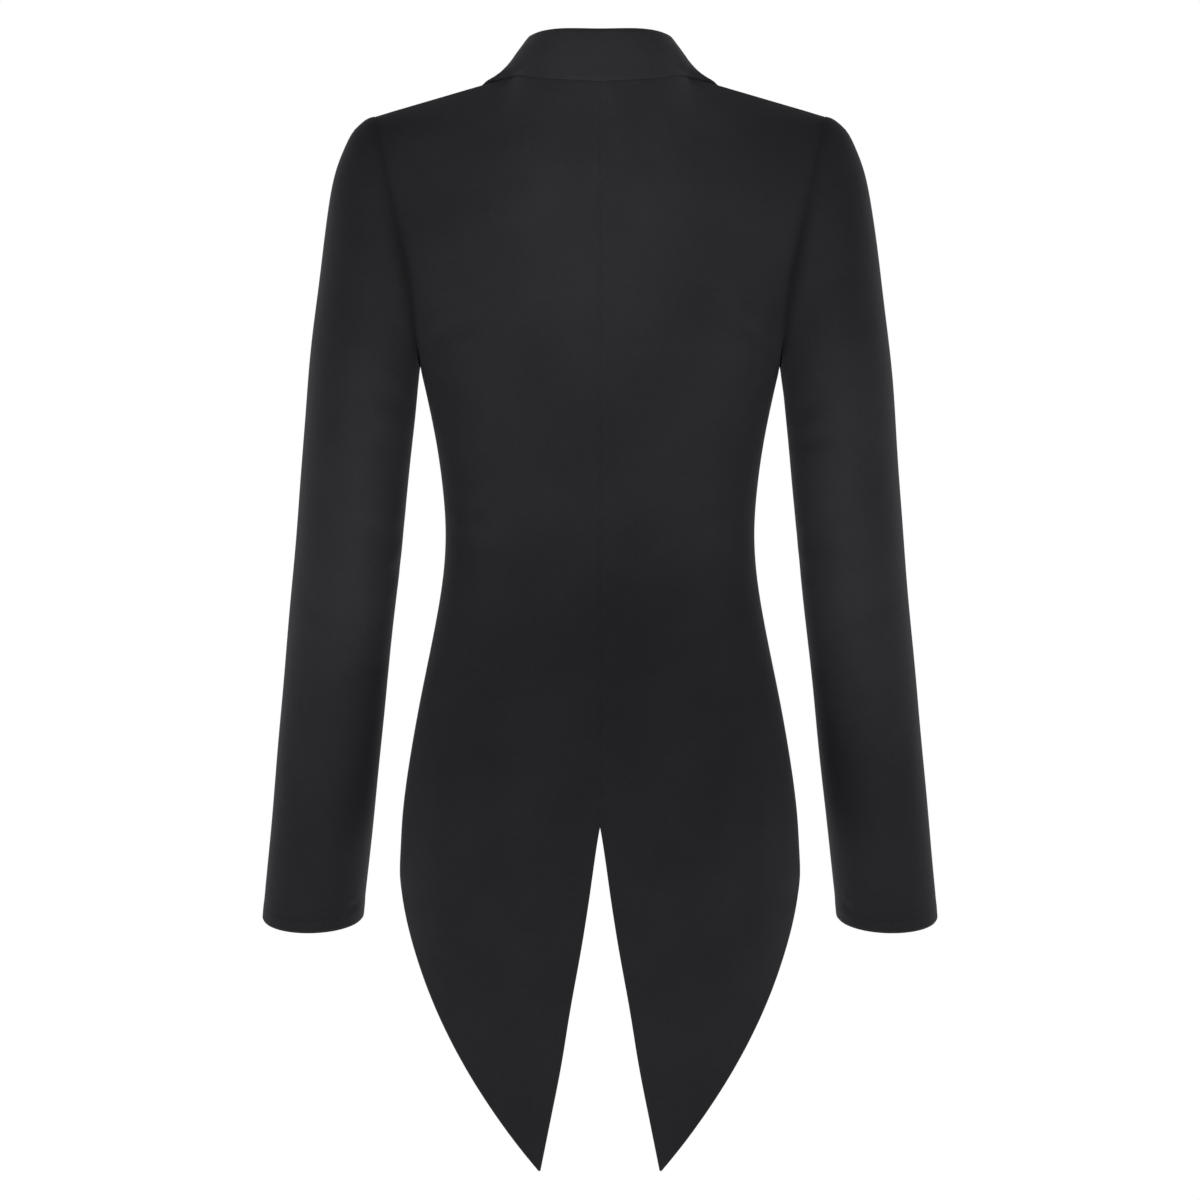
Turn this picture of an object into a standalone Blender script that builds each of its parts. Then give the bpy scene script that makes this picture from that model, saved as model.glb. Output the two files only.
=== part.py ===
"""A women's tailcoat in smooth black suiting: worn shape, hollow, with open neck, cuffs and hem.

Units are metres. X runs to the wearer's left, Y to the back and Z up. The origin is on the centre
line at the height of the base of the neck, where the shoulders carry the coat.

Each cloth piece is a closed wall. Its outer side is a grid of points on the worn form, and its
inner side is the same grid moved in by the cloth's thickness. Left pieces are worked out from the
tables below, and right pieces are their mirror images, except that the right front laps over.
"""

import math
from collections import namedtuple

import bmesh
import bpy
from mathutils import Vector
from mathutils.bvhtree import BVHTree

# Cloth
WALL = 0.0020
SEAM_GAP = 0.0003
LAYER_GAP = 0.0006

# Landmarks of the left side
NECK_BACK = Vector((0.0, 0.0580, 0.0100))
NECK_SIDE = Vector((0.0680, 0.0030, 0.0105))
SHOULDER_TIP = Vector((0.1760, 0.0, -0.0208))
UNDERARM = Vector((0.1405, 0.0, -0.2160))
VENT_TOP = -0.5700
SIDE_HEM = -0.6120
TAIL_TIP_X = 0.0454
TAIL_TIP_Z = -0.8320
TAIL_TIP_WIDTH = 0.0015

# Front closing: the fronts lap past the centre by FRONT_LAP and one button holds them
FRONT_LAP = 0.0140
BREAK_Z = -0.3250
CLOSING_END_Z = -0.3620
GORGE = Vector((0.0660, -0.0430, -0.0280))
LAP_LIFT = WALL + LAYER_GAP
LAP_FULL_X = 0.0250
LAP_ENDS_X = 0.0700

# Squareness of the body's cross-section: 2 is an ellipse, and more is boxier
SECTION_POWER = 2.3

BodySection = namedtuple("BodySection", "height half_width front_depth")
BODY = [
    BodySection(-0.2160, 0.1405, 0.1260),
    BodySection(-0.2620, 0.1302, 0.1220),
    BodySection(-0.3000, 0.1239, 0.1110),
    BodySection(-0.3430, 0.1204, 0.1010),
    BodySection(-0.3850, 0.1230, 0.0990),
    BodySection(-0.4370, 0.1323, 0.1030),
    BodySection(-0.4950, 0.1437, 0.1090),
    BodySection(-0.5540, 0.1526, 0.1120),
    BodySection(-0.6000, 0.1556, 0.1130),
    BodySection(-0.6600, 0.1560, 0.1130),
    BodySection(-0.8400, 0.1540, 0.1100),
]

CentreBack = namedtuple("CentreBack", "height depth")
CENTRE_BACK = [
    CentreBack(0.0100, 0.0580),
    CentreBack(-0.0200, 0.0685),
    CentreBack(-0.0650, 0.0840),
    CentreBack(-0.1100, 0.0945),
    CentreBack(-0.1600, 0.1000),
    CentreBack(-0.2160, 0.1000),
    CentreBack(-0.2800, 0.0920),
    CentreBack(-0.3430, 0.0830),
    CentreBack(-0.3950, 0.0870),
    CentreBack(-0.4600, 0.1030),
    CentreBack(-0.5300, 0.1160),
    CentreBack(-0.6000, 0.1200),
    CentreBack(-0.6700, 0.1170),
    CentreBack(-0.7500, 0.1110),
    CentreBack(-0.8400, 0.1050),
]

# The tail's inner edge, from the vent's top down to the tip
VentEdge = namedtuple("VentEdge", "height half_width")
VENT_EDGE = [
    VentEdge(VENT_TOP, 0.0),
    VentEdge(-0.5946, 0.0040),
    VentEdge(-0.6248, 0.0082),
    VentEdge(-0.6626, 0.0142),
    VentEdge(-0.7080, 0.0224),
    VentEdge(-0.7534, 0.0298),
    VentEdge(-0.7990, 0.0388),
    VentEdge(TAIL_TIP_Z, TAIL_TIP_X),
]

# The tail's outer edge, from the side seam down to the tip
TailEdge = namedtuple("TailEdge", "height half_width")
TAIL_EDGE = [
    TailEdge(SIDE_HEM, 0.1556),
    TailEdge(-0.6306, 0.1529),
    TailEdge(-0.6674, 0.1433),
    TailEdge(-0.7119, 0.1258),
    TailEdge(-0.7562, 0.1022),
    TailEdge(-0.8009, 0.0721),
    TailEdge(TAIL_TIP_Z, TAIL_TIP_X + TAIL_TIP_WIDTH),
]

# The front hem, swept up from the side seam to the closing edge
FrontHem = namedtuple("FrontHem", "share_from_side height")
FRONT_HEM = [
    FrontHem(0.0, SIDE_HEM),
    FrontHem(0.25, -0.5600),
    FrontHem(0.5, -0.4950),
    FrontHem(0.72, -0.4260),
    FrontHem(0.86, -0.3790),
    FrontHem(1.0, CLOSING_END_Z),
]

# Neck edge of the back, from the centre to the neck side
NECK_CURVE = [
    NECK_BACK,
    Vector((0.0340, 0.0505, 0.0108)),
    Vector((0.0590, 0.0290, 0.0115)),
    NECK_SIDE,
]

# Front edge above the underarm: roll line up to the gorge, then the neck seam
FRONT_EDGE_UPPER = [
    Vector((0.0324, -0.1120, -0.1600)),
    Vector((0.0430, -0.0945, -0.1200)),
    Vector((0.0533, -0.0740, -0.0780)),
    GORGE,
    Vector((0.0695, -0.0210, -0.0040)),
    NECK_SIDE,
]

# Rings of the sleeve: outer and inner points of each, seen from behind, and its place in depth.
# The scye share is how much of the armhole's own shape a ring still has.
SleeveRing = namedtuple(
    "SleeveRing", "outer_x outer_z inner_x inner_z middle_y half_depth tilt scye"
)
SLEEVE = [
    SleeveRing(
        SHOULDER_TIP.x, SHOULDER_TIP.z, UNDERARM.x, UNDERARM.z, 0.0000, 0.0540, 0.0, 1.00
    ),
    SleeveRing(0.1912, -0.0310, 0.1409, -0.2200, -0.0005, 0.0552, 0.0, 0.70),
    SleeveRing(0.2050, -0.0600, 0.1414, -0.2262, 0.0000, 0.0570, 0.0, 0.35),
    SleeveRing(0.2124, -0.0960, 0.1424, -0.2360, 0.0010, 0.0580, 0.0, 0.10),
    SleeveRing(0.2198, -0.1560, 0.1444, -0.2560, 0.0030, 0.0580, 0.0, 0.00),
    SleeveRing(0.2267, -0.2184, 0.1475, -0.2850, 0.0050, 0.0565, 0.0, 0.00),
    SleeveRing(0.2321, -0.2900, 0.1520, -0.3330, 0.0070, 0.0540, 2.0, 0.00),
    SleeveRing(0.2373, -0.3550, 0.1577, -0.3900, 0.0030, 0.0515, 7.0, 0.00),
    SleeveRing(0.2444, -0.4300, 0.1645, -0.4480, -0.0120, 0.0490, 11.0, 0.00),
    SleeveRing(0.2550, -0.5310, 0.1746, -0.5370, -0.0330, 0.0465, 13.0, 0.00),
    SleeveRing(0.2668, -0.6490, 0.1872, -0.6480, -0.0575, 0.0440, 14.0, 0.00),
]
RINGS_PER_ROW = 2
AROUND_HALF = 14

# Armhole: the ring of the seam, fuller low down and cut in more at the front than at the back
SCYE_EGG = 0.12
SCYE_LOW_SHARE = 0.6
SCYE_CUT_BACK = 0.0030
SCYE_CUT_FRONT = 0.0110

# Collar: base, fold and leaf at stations from the centre back to the gorge
CollarStation = namedtuple("CollarStation", "base fold middle edge roll")
COLLAR = [
    CollarStation(
        NECK_BACK, Vector((0.0, 0.0545, 0.0408)), Vector((0.0, 0.0615, 0.0205)),
        Vector((0.0, 0.0638, 0.0000)), 0.0030,
    ),
    CollarStation(
        NECK_CURVE[1], Vector((0.0315, 0.0475, 0.0416)), Vector((0.0375, 0.0520, 0.0225)),
        Vector((0.0430, 0.0502, 0.0040)), 0.0030,
    ),
    CollarStation(
        NECK_CURVE[2], Vector((0.0500, 0.0265, 0.0402)), Vector((0.0612, 0.0262, 0.0235)),
        Vector((0.0690, 0.0112, 0.0092)), 0.0028,
    ),
    CollarStation(
        NECK_SIDE, Vector((0.0575, 0.0010, 0.0350)), Vector((0.0735, -0.0005, 0.0190)),
        Vector((0.0915, -0.0010, 0.0060)), 0.0026,
    ),
    CollarStation(
        FRONT_EDGE_UPPER[4], Vector((0.0625, -0.0230, 0.0165)), Vector((0.0840, -0.0280, 0.0010)),
        Vector((0.1040, -0.0305, -0.0155)), 0.0026,
    ),
    CollarStation(
        GORGE, Vector((0.0645, -0.0470, -0.0215)), Vector((0.1000, -0.0590, -0.0490)),
        Vector((0.1180, -0.0520, -0.0410)), 0.0022,
    ),
]
COLLAR_STEPS = 3
COLLAR_PLACES = [0, 0.5, 1, 1.5, 2, 2.5, 3, 3.33, 3.67, 4, 4.33, 4.67, 5]
LEAF_START = COLLAR_PLACES.index(3)
COLLAR_SEAT = 0.0005
COLLAR_CLEARANCE = 0.0018
# Share by which the leaf's edge is drawn down onto the cloth under it, at the stations
LEAF_DRAW = [(0, 0.0), (1, 0.3), (2, 1.0), (3, 1.0), (4, 0.4), (5, 0.0)]

# Lapel, in the front view: gorge line from the roll line through the notch to the point
LAPEL_POINT = Vector((0.1340, 0.0, -0.0800))
LAPEL_BELLY = 0.0100
LAPEL_END_WIDTH = 0.0040
LAPEL_END_RISE = 0.0040
LAPEL_ROLL_GAP = 0.0006
LAPEL_ROLL_LIFT = 0.0035
LAPEL_GORGE_GAP = 0.0020
LAPEL_LIFT = 0.0014
LAPEL_ROWS = 18
LAPEL_COLUMNS = 7

# Button
BUTTON_RADIUS = 0.0100
BUTTON_RIM = 0.0013
BUTTON_THICKNESS = 0.0036
BUTTON_DISH = 0.0012
BUTTON_Z = -0.3420
BUTTON_SEAT = 0.0005
BUTTON_SIDES = 24

# Grid counts
TAIL_ROWS = 10
VENT_ROWS = 2
BODICE_ROWS = 11
FRONT_ROWS = 10
PANEL_COLUMNS = 12
NECK_COLUMNS = 5
SMOOTHING_PASSES = 4

# Colours, linear
BLACK_CLOTH = (0.0212, 0.0212, 0.0235, 1.0)
BLACK_HORN = (0.0120, 0.0120, 0.0130, 1.0)

# Finish: how matt each material is, and the angle from which an edge stays sharp
CLOTH_ROUGHNESS = 0.85
HORN_ROUGHNESS = 0.35
SHARP_ANGLE = math.radians(40)

# Smallest height difference that counts, and the fold between two walls that ends their mitre
SAME_HEIGHT = 1e-6
WELD_DISTANCE = 1e-6
MITRE_FOLD = -0.6


def blend(start, end, share):
    """A value or point part of the way from start to end."""
    return start + (end - start) * share


def smooth_share(low, high, value):
    """0 below low, 1 above high and an even S between."""
    share = min(1.0, max(0.0, (value - low) / (high - low)))
    return share * share * (3.0 - 2.0 * share)


def lookup(table, key):
    """Smooth values at a key, from rows that start with their key, by cubic curves through them."""
    rows = sorted(tuple(row) for row in table)
    keys = [row[0] for row in rows]
    key = min(max(key, keys[0]), keys[-1])
    last = len(rows) - 1
    at = max(i for i in range(last) if keys[i] <= key)
    span = keys[at + 1] - keys[at]
    t = (key - keys[at]) / span

    def slope(i, column):
        before = max(i - 1, 0)
        after = min(i + 1, last)
        return (rows[after][column] - rows[before][column]) / (keys[after] - keys[before])

    values = []
    for column in range(1, len(rows[0])):
        start = rows[at][column]
        end = rows[at + 1][column]
        rise = slope(at, column) * span
        fall = slope(at + 1, column) * span
        values.append(
            (2 * t**3 - 3 * t**2 + 1) * start
            + (t**3 - 2 * t**2 + t) * rise
            + (3 * t**2 - 2 * t**3) * end
            + (t**3 - t**2) * fall
        )
    return values


def path_table(points):
    """Rows of share of length, x, y and z, for a curve through the points."""
    lengths = [0.0]
    for before, after in zip(points, points[1:]):
        lengths.append(lengths[-1] + (after - before).length)
    return [(length / lengths[-1], p.x, p.y, p.z) for length, p in zip(lengths, points)]


def path_points(points, count):
    """Evenly spaced points along the smooth curve through the given ones."""
    table = path_table(points)
    return [Vector(lookup(table, i / (count - 1))) for i in range(count)]


# --- the worn form -------------------------------------------------------------------------


def centre_back(height):
    return lookup(CENTRE_BACK, height)[0]


def section_point(angle, height):
    """Point of the body's section at a height. The angle is 0 at the centre back."""
    half_width, front_depth = lookup(BODY, height)
    depth = centre_back(height) if math.cos(angle) > 0 else front_depth
    power = 2.0 / SECTION_POWER
    x = half_width * math.copysign(abs(math.sin(angle)) ** power, math.sin(angle))
    y = depth * math.copysign(abs(math.cos(angle)) ** power, math.cos(angle))
    return Vector((x, y, height))


def section_angle(x, height):
    """Angle from the centre line to the point of the section that has this x."""
    half_width = lookup(BODY, height)[0]
    share = min(1.0, abs(x) / half_width) ** (SECTION_POWER / 2.0)
    return math.copysign(math.asin(share), x)


def ring_point(ring, angle):
    """Point of a sleeve ring. The angle is 0 at the top, and a quarter turn is at the back."""
    cosine = math.cos(angle)
    sine = math.sin(angle)
    outer = Vector((ring.outer_x, ring.middle_y, ring.outer_z))
    inner = Vector((ring.inner_x, ring.middle_y, ring.inner_z))
    point = (outer + inner) / 2 + (outer - inner) / 2 * cosine
    cut = SCYE_CUT_BACK if sine > 0 else SCYE_CUT_FRONT
    point.x -= ring.scye * cut * sine * sine * (1.0 - SCYE_LOW_SHARE * cosine)
    reach = ring.half_depth * sine * (1.0 - ring.scye * SCYE_EGG * cosine)
    tilt = math.radians(ring.tilt)
    point.y += reach * math.cos(tilt)
    point.z -= reach * math.sin(tilt)
    return point


def armhole_point(angle):
    return ring_point(SLEEVE[0], angle)


# --- grids of the cloth pieces -------------------------------------------------------------


def coons(bottom, top, left, right):
    """Rows of points that fill four edge curves. Bottom and top run from left to right."""
    rows = []
    for i, (start, end) in enumerate(zip(left, right)):
        v = i / (len(left) - 1)
        row = []
        for j, (low, high) in enumerate(zip(bottom, top)):
            u = j / (len(bottom) - 1)
            corners = blend(blend(bottom[0], bottom[-1], u), blend(top[0], top[-1], u), v)
            row.append(blend(low, high, v) + blend(start, end, u) - corners)
        rows.append(row)
    return rows


def relax(grid, first_row, last_row, passes):
    """Evens out the inner points between two rows, so that no crease is left across them."""
    for _ in range(passes):
        before = [[p.copy() for p in row] for row in grid]
        for i in range(first_row, last_row):
            for j in range(1, len(grid[0]) - 1):
                around = before[i - 1][j] + before[i + 1][j] + before[i][j - 1] + before[i][j + 1]
                grid[i][j] = blend(before[i][j], around / 4, 0.5)


def steps(start, end, count):
    """Count values after start, evenly up to end."""
    return [start + (end - start) * (i + 1) / count for i in range(count)]


def back_grid():
    """The left back with its tail: rows from the tail's tip up, columns from the centre out."""
    heights = [TAIL_TIP_Z]
    heights += steps(TAIL_TIP_Z, SIDE_HEM, TAIL_ROWS)
    heights += steps(SIDE_HEM, VENT_TOP, VENT_ROWS)
    heights += steps(VENT_TOP, UNDERARM.z, BODICE_ROWS)
    lower = []
    for height in heights:
        start = 0.0
        end = math.pi / 2
        if height < VENT_TOP:
            start = section_angle(lookup(VENT_EDGE, height)[0], height)
        if height < SIDE_HEM - SAME_HEIGHT:
            end = section_angle(lookup(TAIL_EDGE, height)[0], height)
        angles = [blend(start, end, j / PANEL_COLUMNS) for j in range(PANEL_COLUMNS + 1)]
        lower.append([section_point(angle, height) for angle in angles])

    centre = []
    for i in range(AROUND_HALF + 1):
        height = blend(UNDERARM.z, NECK_BACK.z, i / AROUND_HALF)
        centre.append(Vector((0.0, centre_back(height), height)))
    armhole = [
        armhole_point(math.pi * (1 - i / AROUND_HALF)) for i in range(AROUND_HALF + 1)
    ]
    shoulder_columns = PANEL_COLUMNS - NECK_COLUMNS
    top = path_points(NECK_CURVE, NECK_COLUMNS + 1)
    top += steps(NECK_SIDE, SHOULDER_TIP, shoulder_columns)
    upper = coons(lower[-1], top, centre, armhole)
    grid = lower[:-1] + upper
    relax(grid, len(lower) - 3, len(grid) - 1, SMOOTHING_PASSES)
    return grid


def roll_line_x(height):
    """Where the front edge is, below the underarm: the roll line, then the closing edge."""
    if height < BREAK_Z:
        return -FRONT_LAP
    share = (height - BREAK_Z) / (GORGE.z - BREAK_Z)
    return blend(-FRONT_LAP, GORGE.x, share)


def front_grid():
    """The left front: rows from the hem up, columns from the side seam to the front edge."""
    lower = []
    for i in range(FRONT_ROWS + 1):
        v = i / FRONT_ROWS
        edge_height = blend(CLOSING_END_Z, UNDERARM.z, v)
        edge_angle = math.pi - section_angle(roll_line_x(edge_height), edge_height)
        row = []
        for j in range(PANEL_COLUMNS + 1):
            u = j / PANEL_COLUMNS
            angle = blend(math.pi / 2, edge_angle, u)
            height = blend(lookup(FRONT_HEM, u)[0], UNDERARM.z, v)
            row.append(section_point(angle, height))
        lower.append(row)

    armhole = [
        armhole_point(-math.pi * (1 - i / AROUND_HALF)) for i in range(AROUND_HALF + 1)
    ]
    edge = path_points([lower[-1][-1]] + FRONT_EDGE_UPPER, AROUND_HALF + 1)
    top = [SHOULDER_TIP] + steps(SHOULDER_TIP, NECK_SIDE, PANEL_COLUMNS)
    upper = coons(lower[-1], top, armhole, edge)
    grid = lower[:-1] + upper
    relax(grid, len(lower) - 3, len(grid) - 1, SMOOTHING_PASSES)
    return grid


def sleeve_grid():
    """The left sleeve: closed rings from the armhole to the cuff."""
    rows = [(i,) + tuple(ring) for i, ring in enumerate(SLEEVE)]
    grid = []
    for i in range((len(SLEEVE) - 1) * RINGS_PER_ROW + 1):
        ring = SleeveRing(*lookup(rows, i / RINGS_PER_ROW))
        angles = [math.pi * j / AROUND_HALF for j in range(2 * AROUND_HALF)]
        grid.append([ring_point(ring, angle) for angle in angles])
    for point in grid[0]:
        point.x += SEAM_GAP
    return grid


# --- walls ---------------------------------------------------------------------------------


def face_corners(rows, columns, closed):
    """The four grid places of each face."""
    for i in range(rows - 1):
        for j in range(columns if closed else columns - 1):
            after = (j + 1) % columns
            yield (i, j), (i, after), (i + 1, after), (i + 1, j)


def grid_normals(grid, closed, sign):
    """Unit normals at the points of a grid, from the faces around each."""
    rows = len(grid)
    columns = len(grid[0])
    sums = [[Vector((0.0, 0.0, 0.0)) for _ in range(columns)] for _ in range(rows)]
    for corners in face_corners(rows, columns, closed):
        a, b, c, d = (grid[i][j] for i, j in corners)
        normal = (c - a).cross(d - b) * sign
        for i, j in corners:
            sums[i][j] += normal
    return [[normal.normalized() for normal in row] for row in sums]


def level(normal, axis):
    """The normal with one axis taken out, so that the edge's face stands square to a seam."""
    flat = normal.copy()
    flat[axis] = 0.0
    return flat.normalized()


def mitre(own, other):
    """Direction in which two walls end alike at a seam, or each square where they fold back."""
    share = smooth_share(MITRE_FOLD, 0.0, own.dot(other))
    return (own + other * share).normalized()


def moved(grid, normals, distance):
    """The grid moved along its normals."""
    return [
        [p + n * distance for p, n in zip(row, normal_row)]
        for row, normal_row in zip(grid, normals)
    ]


def mirrored(grid):
    return [[Vector((-p.x, p.y, p.z)) for p in row] for row in grid]


def finish_material(name, colour, roughness):
    material = bpy.data.materials.new(name + "_finish")
    material.use_nodes = True
    shader = material.node_tree.nodes["Principled BSDF"]
    shader.inputs["Base Color"].default_value = colour
    shader.inputs["Roughness"].default_value = roughness
    shader.inputs["Metallic"].default_value = 0.0
    return material


def add_object(name, mesh_edit, material):
    """Turns closed bmesh geometry into a named, smooth-shaded object."""
    bmesh.ops.recalc_face_normals(mesh_edit, faces=mesh_edit.faces[:])
    mesh = bpy.data.meshes.new(name)
    mesh_edit.to_mesh(mesh)
    mesh_edit.free()
    mesh.shade_smooth()
    mesh.set_sharp_from_angle(angle=SHARP_ANGLE)
    mesh.materials.append(material)
    thing = bpy.data.objects.new(name, mesh)
    bpy.context.scene.collection.objects.link(thing)
    return thing


def add_wall(name, outer, inner, closed=False):
    """A closed wall between two grids: both sides and the rims that join them."""
    rows = len(outer)
    columns = len(outer[0])
    edit = bmesh.new()
    sides = [[[edit.verts.new(p) for p in row] for row in grid] for grid in (outer, inner)]
    front, back = sides
    for corners in face_corners(rows, columns, closed):
        edit.faces.new([front[i][j] for i, j in corners])
        edit.faces.new([back[i][j] for i, j in reversed(corners)])
    rims = []
    for i in (0, rows - 1):
        for j in range(columns if closed else columns - 1):
            rims.append(((i, j), (i, (j + 1) % columns)))
    if not closed:
        for j in (0, columns - 1):
            rims += [((i, j), (i + 1, j)) for i in range(rows - 1)]
    for (i, j), (k, m) in rims:
        edit.faces.new([front[i][j], front[k][m], back[k][m], back[i][j]])
    return add_object(name, edit, finish_material(name, BLACK_CLOTH, CLOTH_ROUGHNESS))


# --- pieces --------------------------------------------------------------------------------


def panel_inner_normals():
    """Grids and edge-fitted normals of the left back, left front and left sleeve."""
    back = back_grid()
    front = front_grid()
    sleeve = sleeve_grid()
    back_normals = grid_normals(back, False, -1.0)
    front_normals = grid_normals(front, False, -1.0)
    sleeve_normals = grid_normals(sleeve, True, -1.0)

    first_scye_back = len(back) - 1 - AROUND_HALF
    first_scye_front = len(front) - 1 - AROUND_HALF
    for i in range(AROUND_HALF + 1):
        at_back = AROUND_HALF - i
        at_front = (AROUND_HALF + i) % (2 * AROUND_HALF)
        panel_back = back_normals[first_scye_back + i][-1].copy()
        panel_front = front_normals[first_scye_front + i][0].copy()
        ring_back = sleeve_normals[0][at_back].copy()
        ring_front = sleeve_normals[0][at_front].copy()
        if i in (0, AROUND_HALF):
            panel_back = (panel_back + panel_front).normalized()
            panel_front = panel_back.copy()
        back_normals[first_scye_back + i][-1] = mitre(panel_back, ring_back)
        front_normals[first_scye_front + i][0] = mitre(panel_front, ring_front)
        sleeve_normals[0][at_back] = mitre(ring_back, panel_back)
        sleeve_normals[0][at_front] = mitre(ring_front, panel_front)

    half_gap = SEAM_GAP / 2
    for i, row in enumerate(back):
        if row[0].z > VENT_TOP - SAME_HEIGHT:
            back_normals[i][0] = level(back_normals[i][0], 0)
            row[0].x += half_gap
        if i <= first_scye_back and row[-1].z > SIDE_HEM - SAME_HEIGHT:
            back_normals[i][-1] = level(back_normals[i][-1], 1)
            row[-1].y += half_gap
    for j in range(NECK_COLUMNS, PANEL_COLUMNS + 1):
        back_normals[-1][j] = level(back_normals[-1][j], 1)
        back[-1][j].y += half_gap
    for i in range(first_scye_front + 1):
        front_normals[i][0] = level(front_normals[i][0], 1)
        front[i][0].y -= half_gap
    for j in range(PANEL_COLUMNS + 1):
        front_normals[-1][j] = level(front_normals[-1][j], 1)
        front[-1][j].y -= half_gap
    return (back, back_normals), (front, front_normals), (sleeve, sleeve_normals)


def add_panel(name, outer, normals, side, closed=False):
    """The wall of a left piece, or its mirror image for side -1."""
    inner = moved(outer, normals, -WALL)
    if side < 0:
        outer = mirrored(outer)
        inner = mirrored(inner)
    return add_wall(name, outer, inner, closed)


def lapped(grid, normals):
    """The right front's grid, seen as a left one, lifted over the other front near the centre."""
    lifted = []
    for row, normal_row in zip(grid, normals):
        lifts = [LAP_LIFT * (1.0 - smooth_share(LAP_FULL_X, LAP_ENDS_X, p.x)) for p in row]
        lifted.append([p + n * lift for p, n, lift in zip(row, normal_row, lifts)])
    return lifted


def surface_tree(grids):
    """A searchable surface made of the faces of several grids."""
    points = []
    faces = []
    for grid in grids:
        first = len(points)
        columns = len(grid[0])
        points += [p for row in grid for p in row]
        for corners in face_corners(len(grid), columns, False):
            faces.append([first + i * columns + j for i, j in reversed(corners)])
    return BVHTree.FromPolygons(points, faces)


def widened(grid, reach):
    """A front's grid with one more column past its front edge."""
    wide = []
    for row in grid:
        onward = (row[-1] - row[-2]).normalized() * reach
        wide.append(row + [row[-1] + onward])
    return wide


def on_front(tree, x, z, lift):
    """Point over the front at a place of the front view, and the way out from the cloth."""
    point, normal, _, _ = tree.ray_cast(Vector((x, -1.0, z)), Vector((0.0, 1.0, 0.0)))
    return point + normal * lift, normal


def lapel_roll_x(height, under):
    """Roll line of a lapel. The lower front's lapel also ends at the upper front's edge."""
    own = roll_line_x(height)
    if under:
        own = max(own, LAYER_GAP + WALL - roll_line_x(height))
    return own


def add_lapel(name, tree, under, side):
    """A lapel folded back on its front, from the break of the front edge up to the gorge."""
    foot_x = lapel_roll_x(BREAK_Z, under) + LAPEL_END_WIDTH
    foot = Vector((foot_x, 0.0, BREAK_Z + LAPEL_END_RISE))
    outer = []
    inner = []
    for i in range(LAPEL_ROWS + 1):
        r = i / LAPEL_ROWS
        height = blend(foot.z, GORGE.z - LAPEL_GORGE_GAP, r)
        start = Vector((lapel_roll_x(height, under) + LAPEL_ROLL_GAP, 0.0, height))
        end = blend(foot, LAPEL_POINT, r)
        end.x += LAPEL_BELLY * math.sin(math.pi * r)
        outer_row = []
        inner_row = []
        for j in range(LAPEL_COLUMNS + 1):
            c = j / LAPEL_COLUMNS
            place = blend(start, end, c)
            roll = LAPEL_ROLL_LIFT * math.sin(math.pi * c**0.5) * r**0.5
            low, outward = on_front(tree, place.x, place.z, LAPEL_LIFT + roll)
            inner_row.append(low)
            outer_row.append(low + outward * WALL)
        outer.append(outer_row)
        inner.append(inner_row)
    if side < 0:
        outer = mirrored(outer)
        inner = mirrored(inner)
    return add_wall(name, outer, inner)


def collar_row(station, draw, tree):
    """One section of the collar's middle surface, from the neck seam over the fold to the edge."""
    base, fold, middle, edge, roll = station
    outward = (middle - fold).copy()
    outward.z = 0.0
    outward.normalize()
    up = Vector((0.0, 0.0, 1.0))
    foot = base - outward * (WALL / 2) + up * COLLAR_SEAT
    inner_top = fold - outward * roll - up * roll
    outer_top = fold + outward * roll - up * roll
    rows = [foot, inner_top, fold, outer_top, middle, edge]
    table = [(i, p.x, p.y, p.z) for i, p in enumerate(rows)]
    points = [Vector(lookup(table, place)) for place in COLLAR_PLACES]
    clearance = WALL / 2 + COLLAR_CLEARANCE
    span = len(points) - 1 - LEAF_START
    for k in range(LEAF_START, len(points)):
        near, normal, _, _ = tree.find_nearest(points[k])
        away = (points[k] - near).dot(normal)
        share = 1.0 if away < clearance else draw * ((k - LEAF_START) / span) ** 2
        points[k] += normal * (clearance - away) * share
    return points


def add_collar(tree):
    """Stand and fall in one wall, folded over at the top, from gorge to gorge."""
    rows = []
    for i, s in enumerate(COLLAR):
        rows.append((i, *s.base, *s.fold, *s.middle, *s.edge, s.roll))
    half = []
    for i in range((len(COLLAR) - 1) * COLLAR_STEPS + 1):
        values = lookup(rows, i / COLLAR_STEPS)
        points = [Vector(values[k:k + 3]) for k in (0, 3, 6, 9)]
        draw = lookup(LEAF_DRAW, i / COLLAR_STEPS)[0]
        half.append(collar_row(points + [values[12]], draw, tree))
    for point in half[0]:
        point.x = 0.0
    grid = list(reversed(mirrored(half)))[:-1] + half
    normals = grid_normals(grid, False, 1.0)
    return add_wall("collar", moved(grid, normals, WALL / 2), moved(grid, normals, -WALL / 2))


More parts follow.
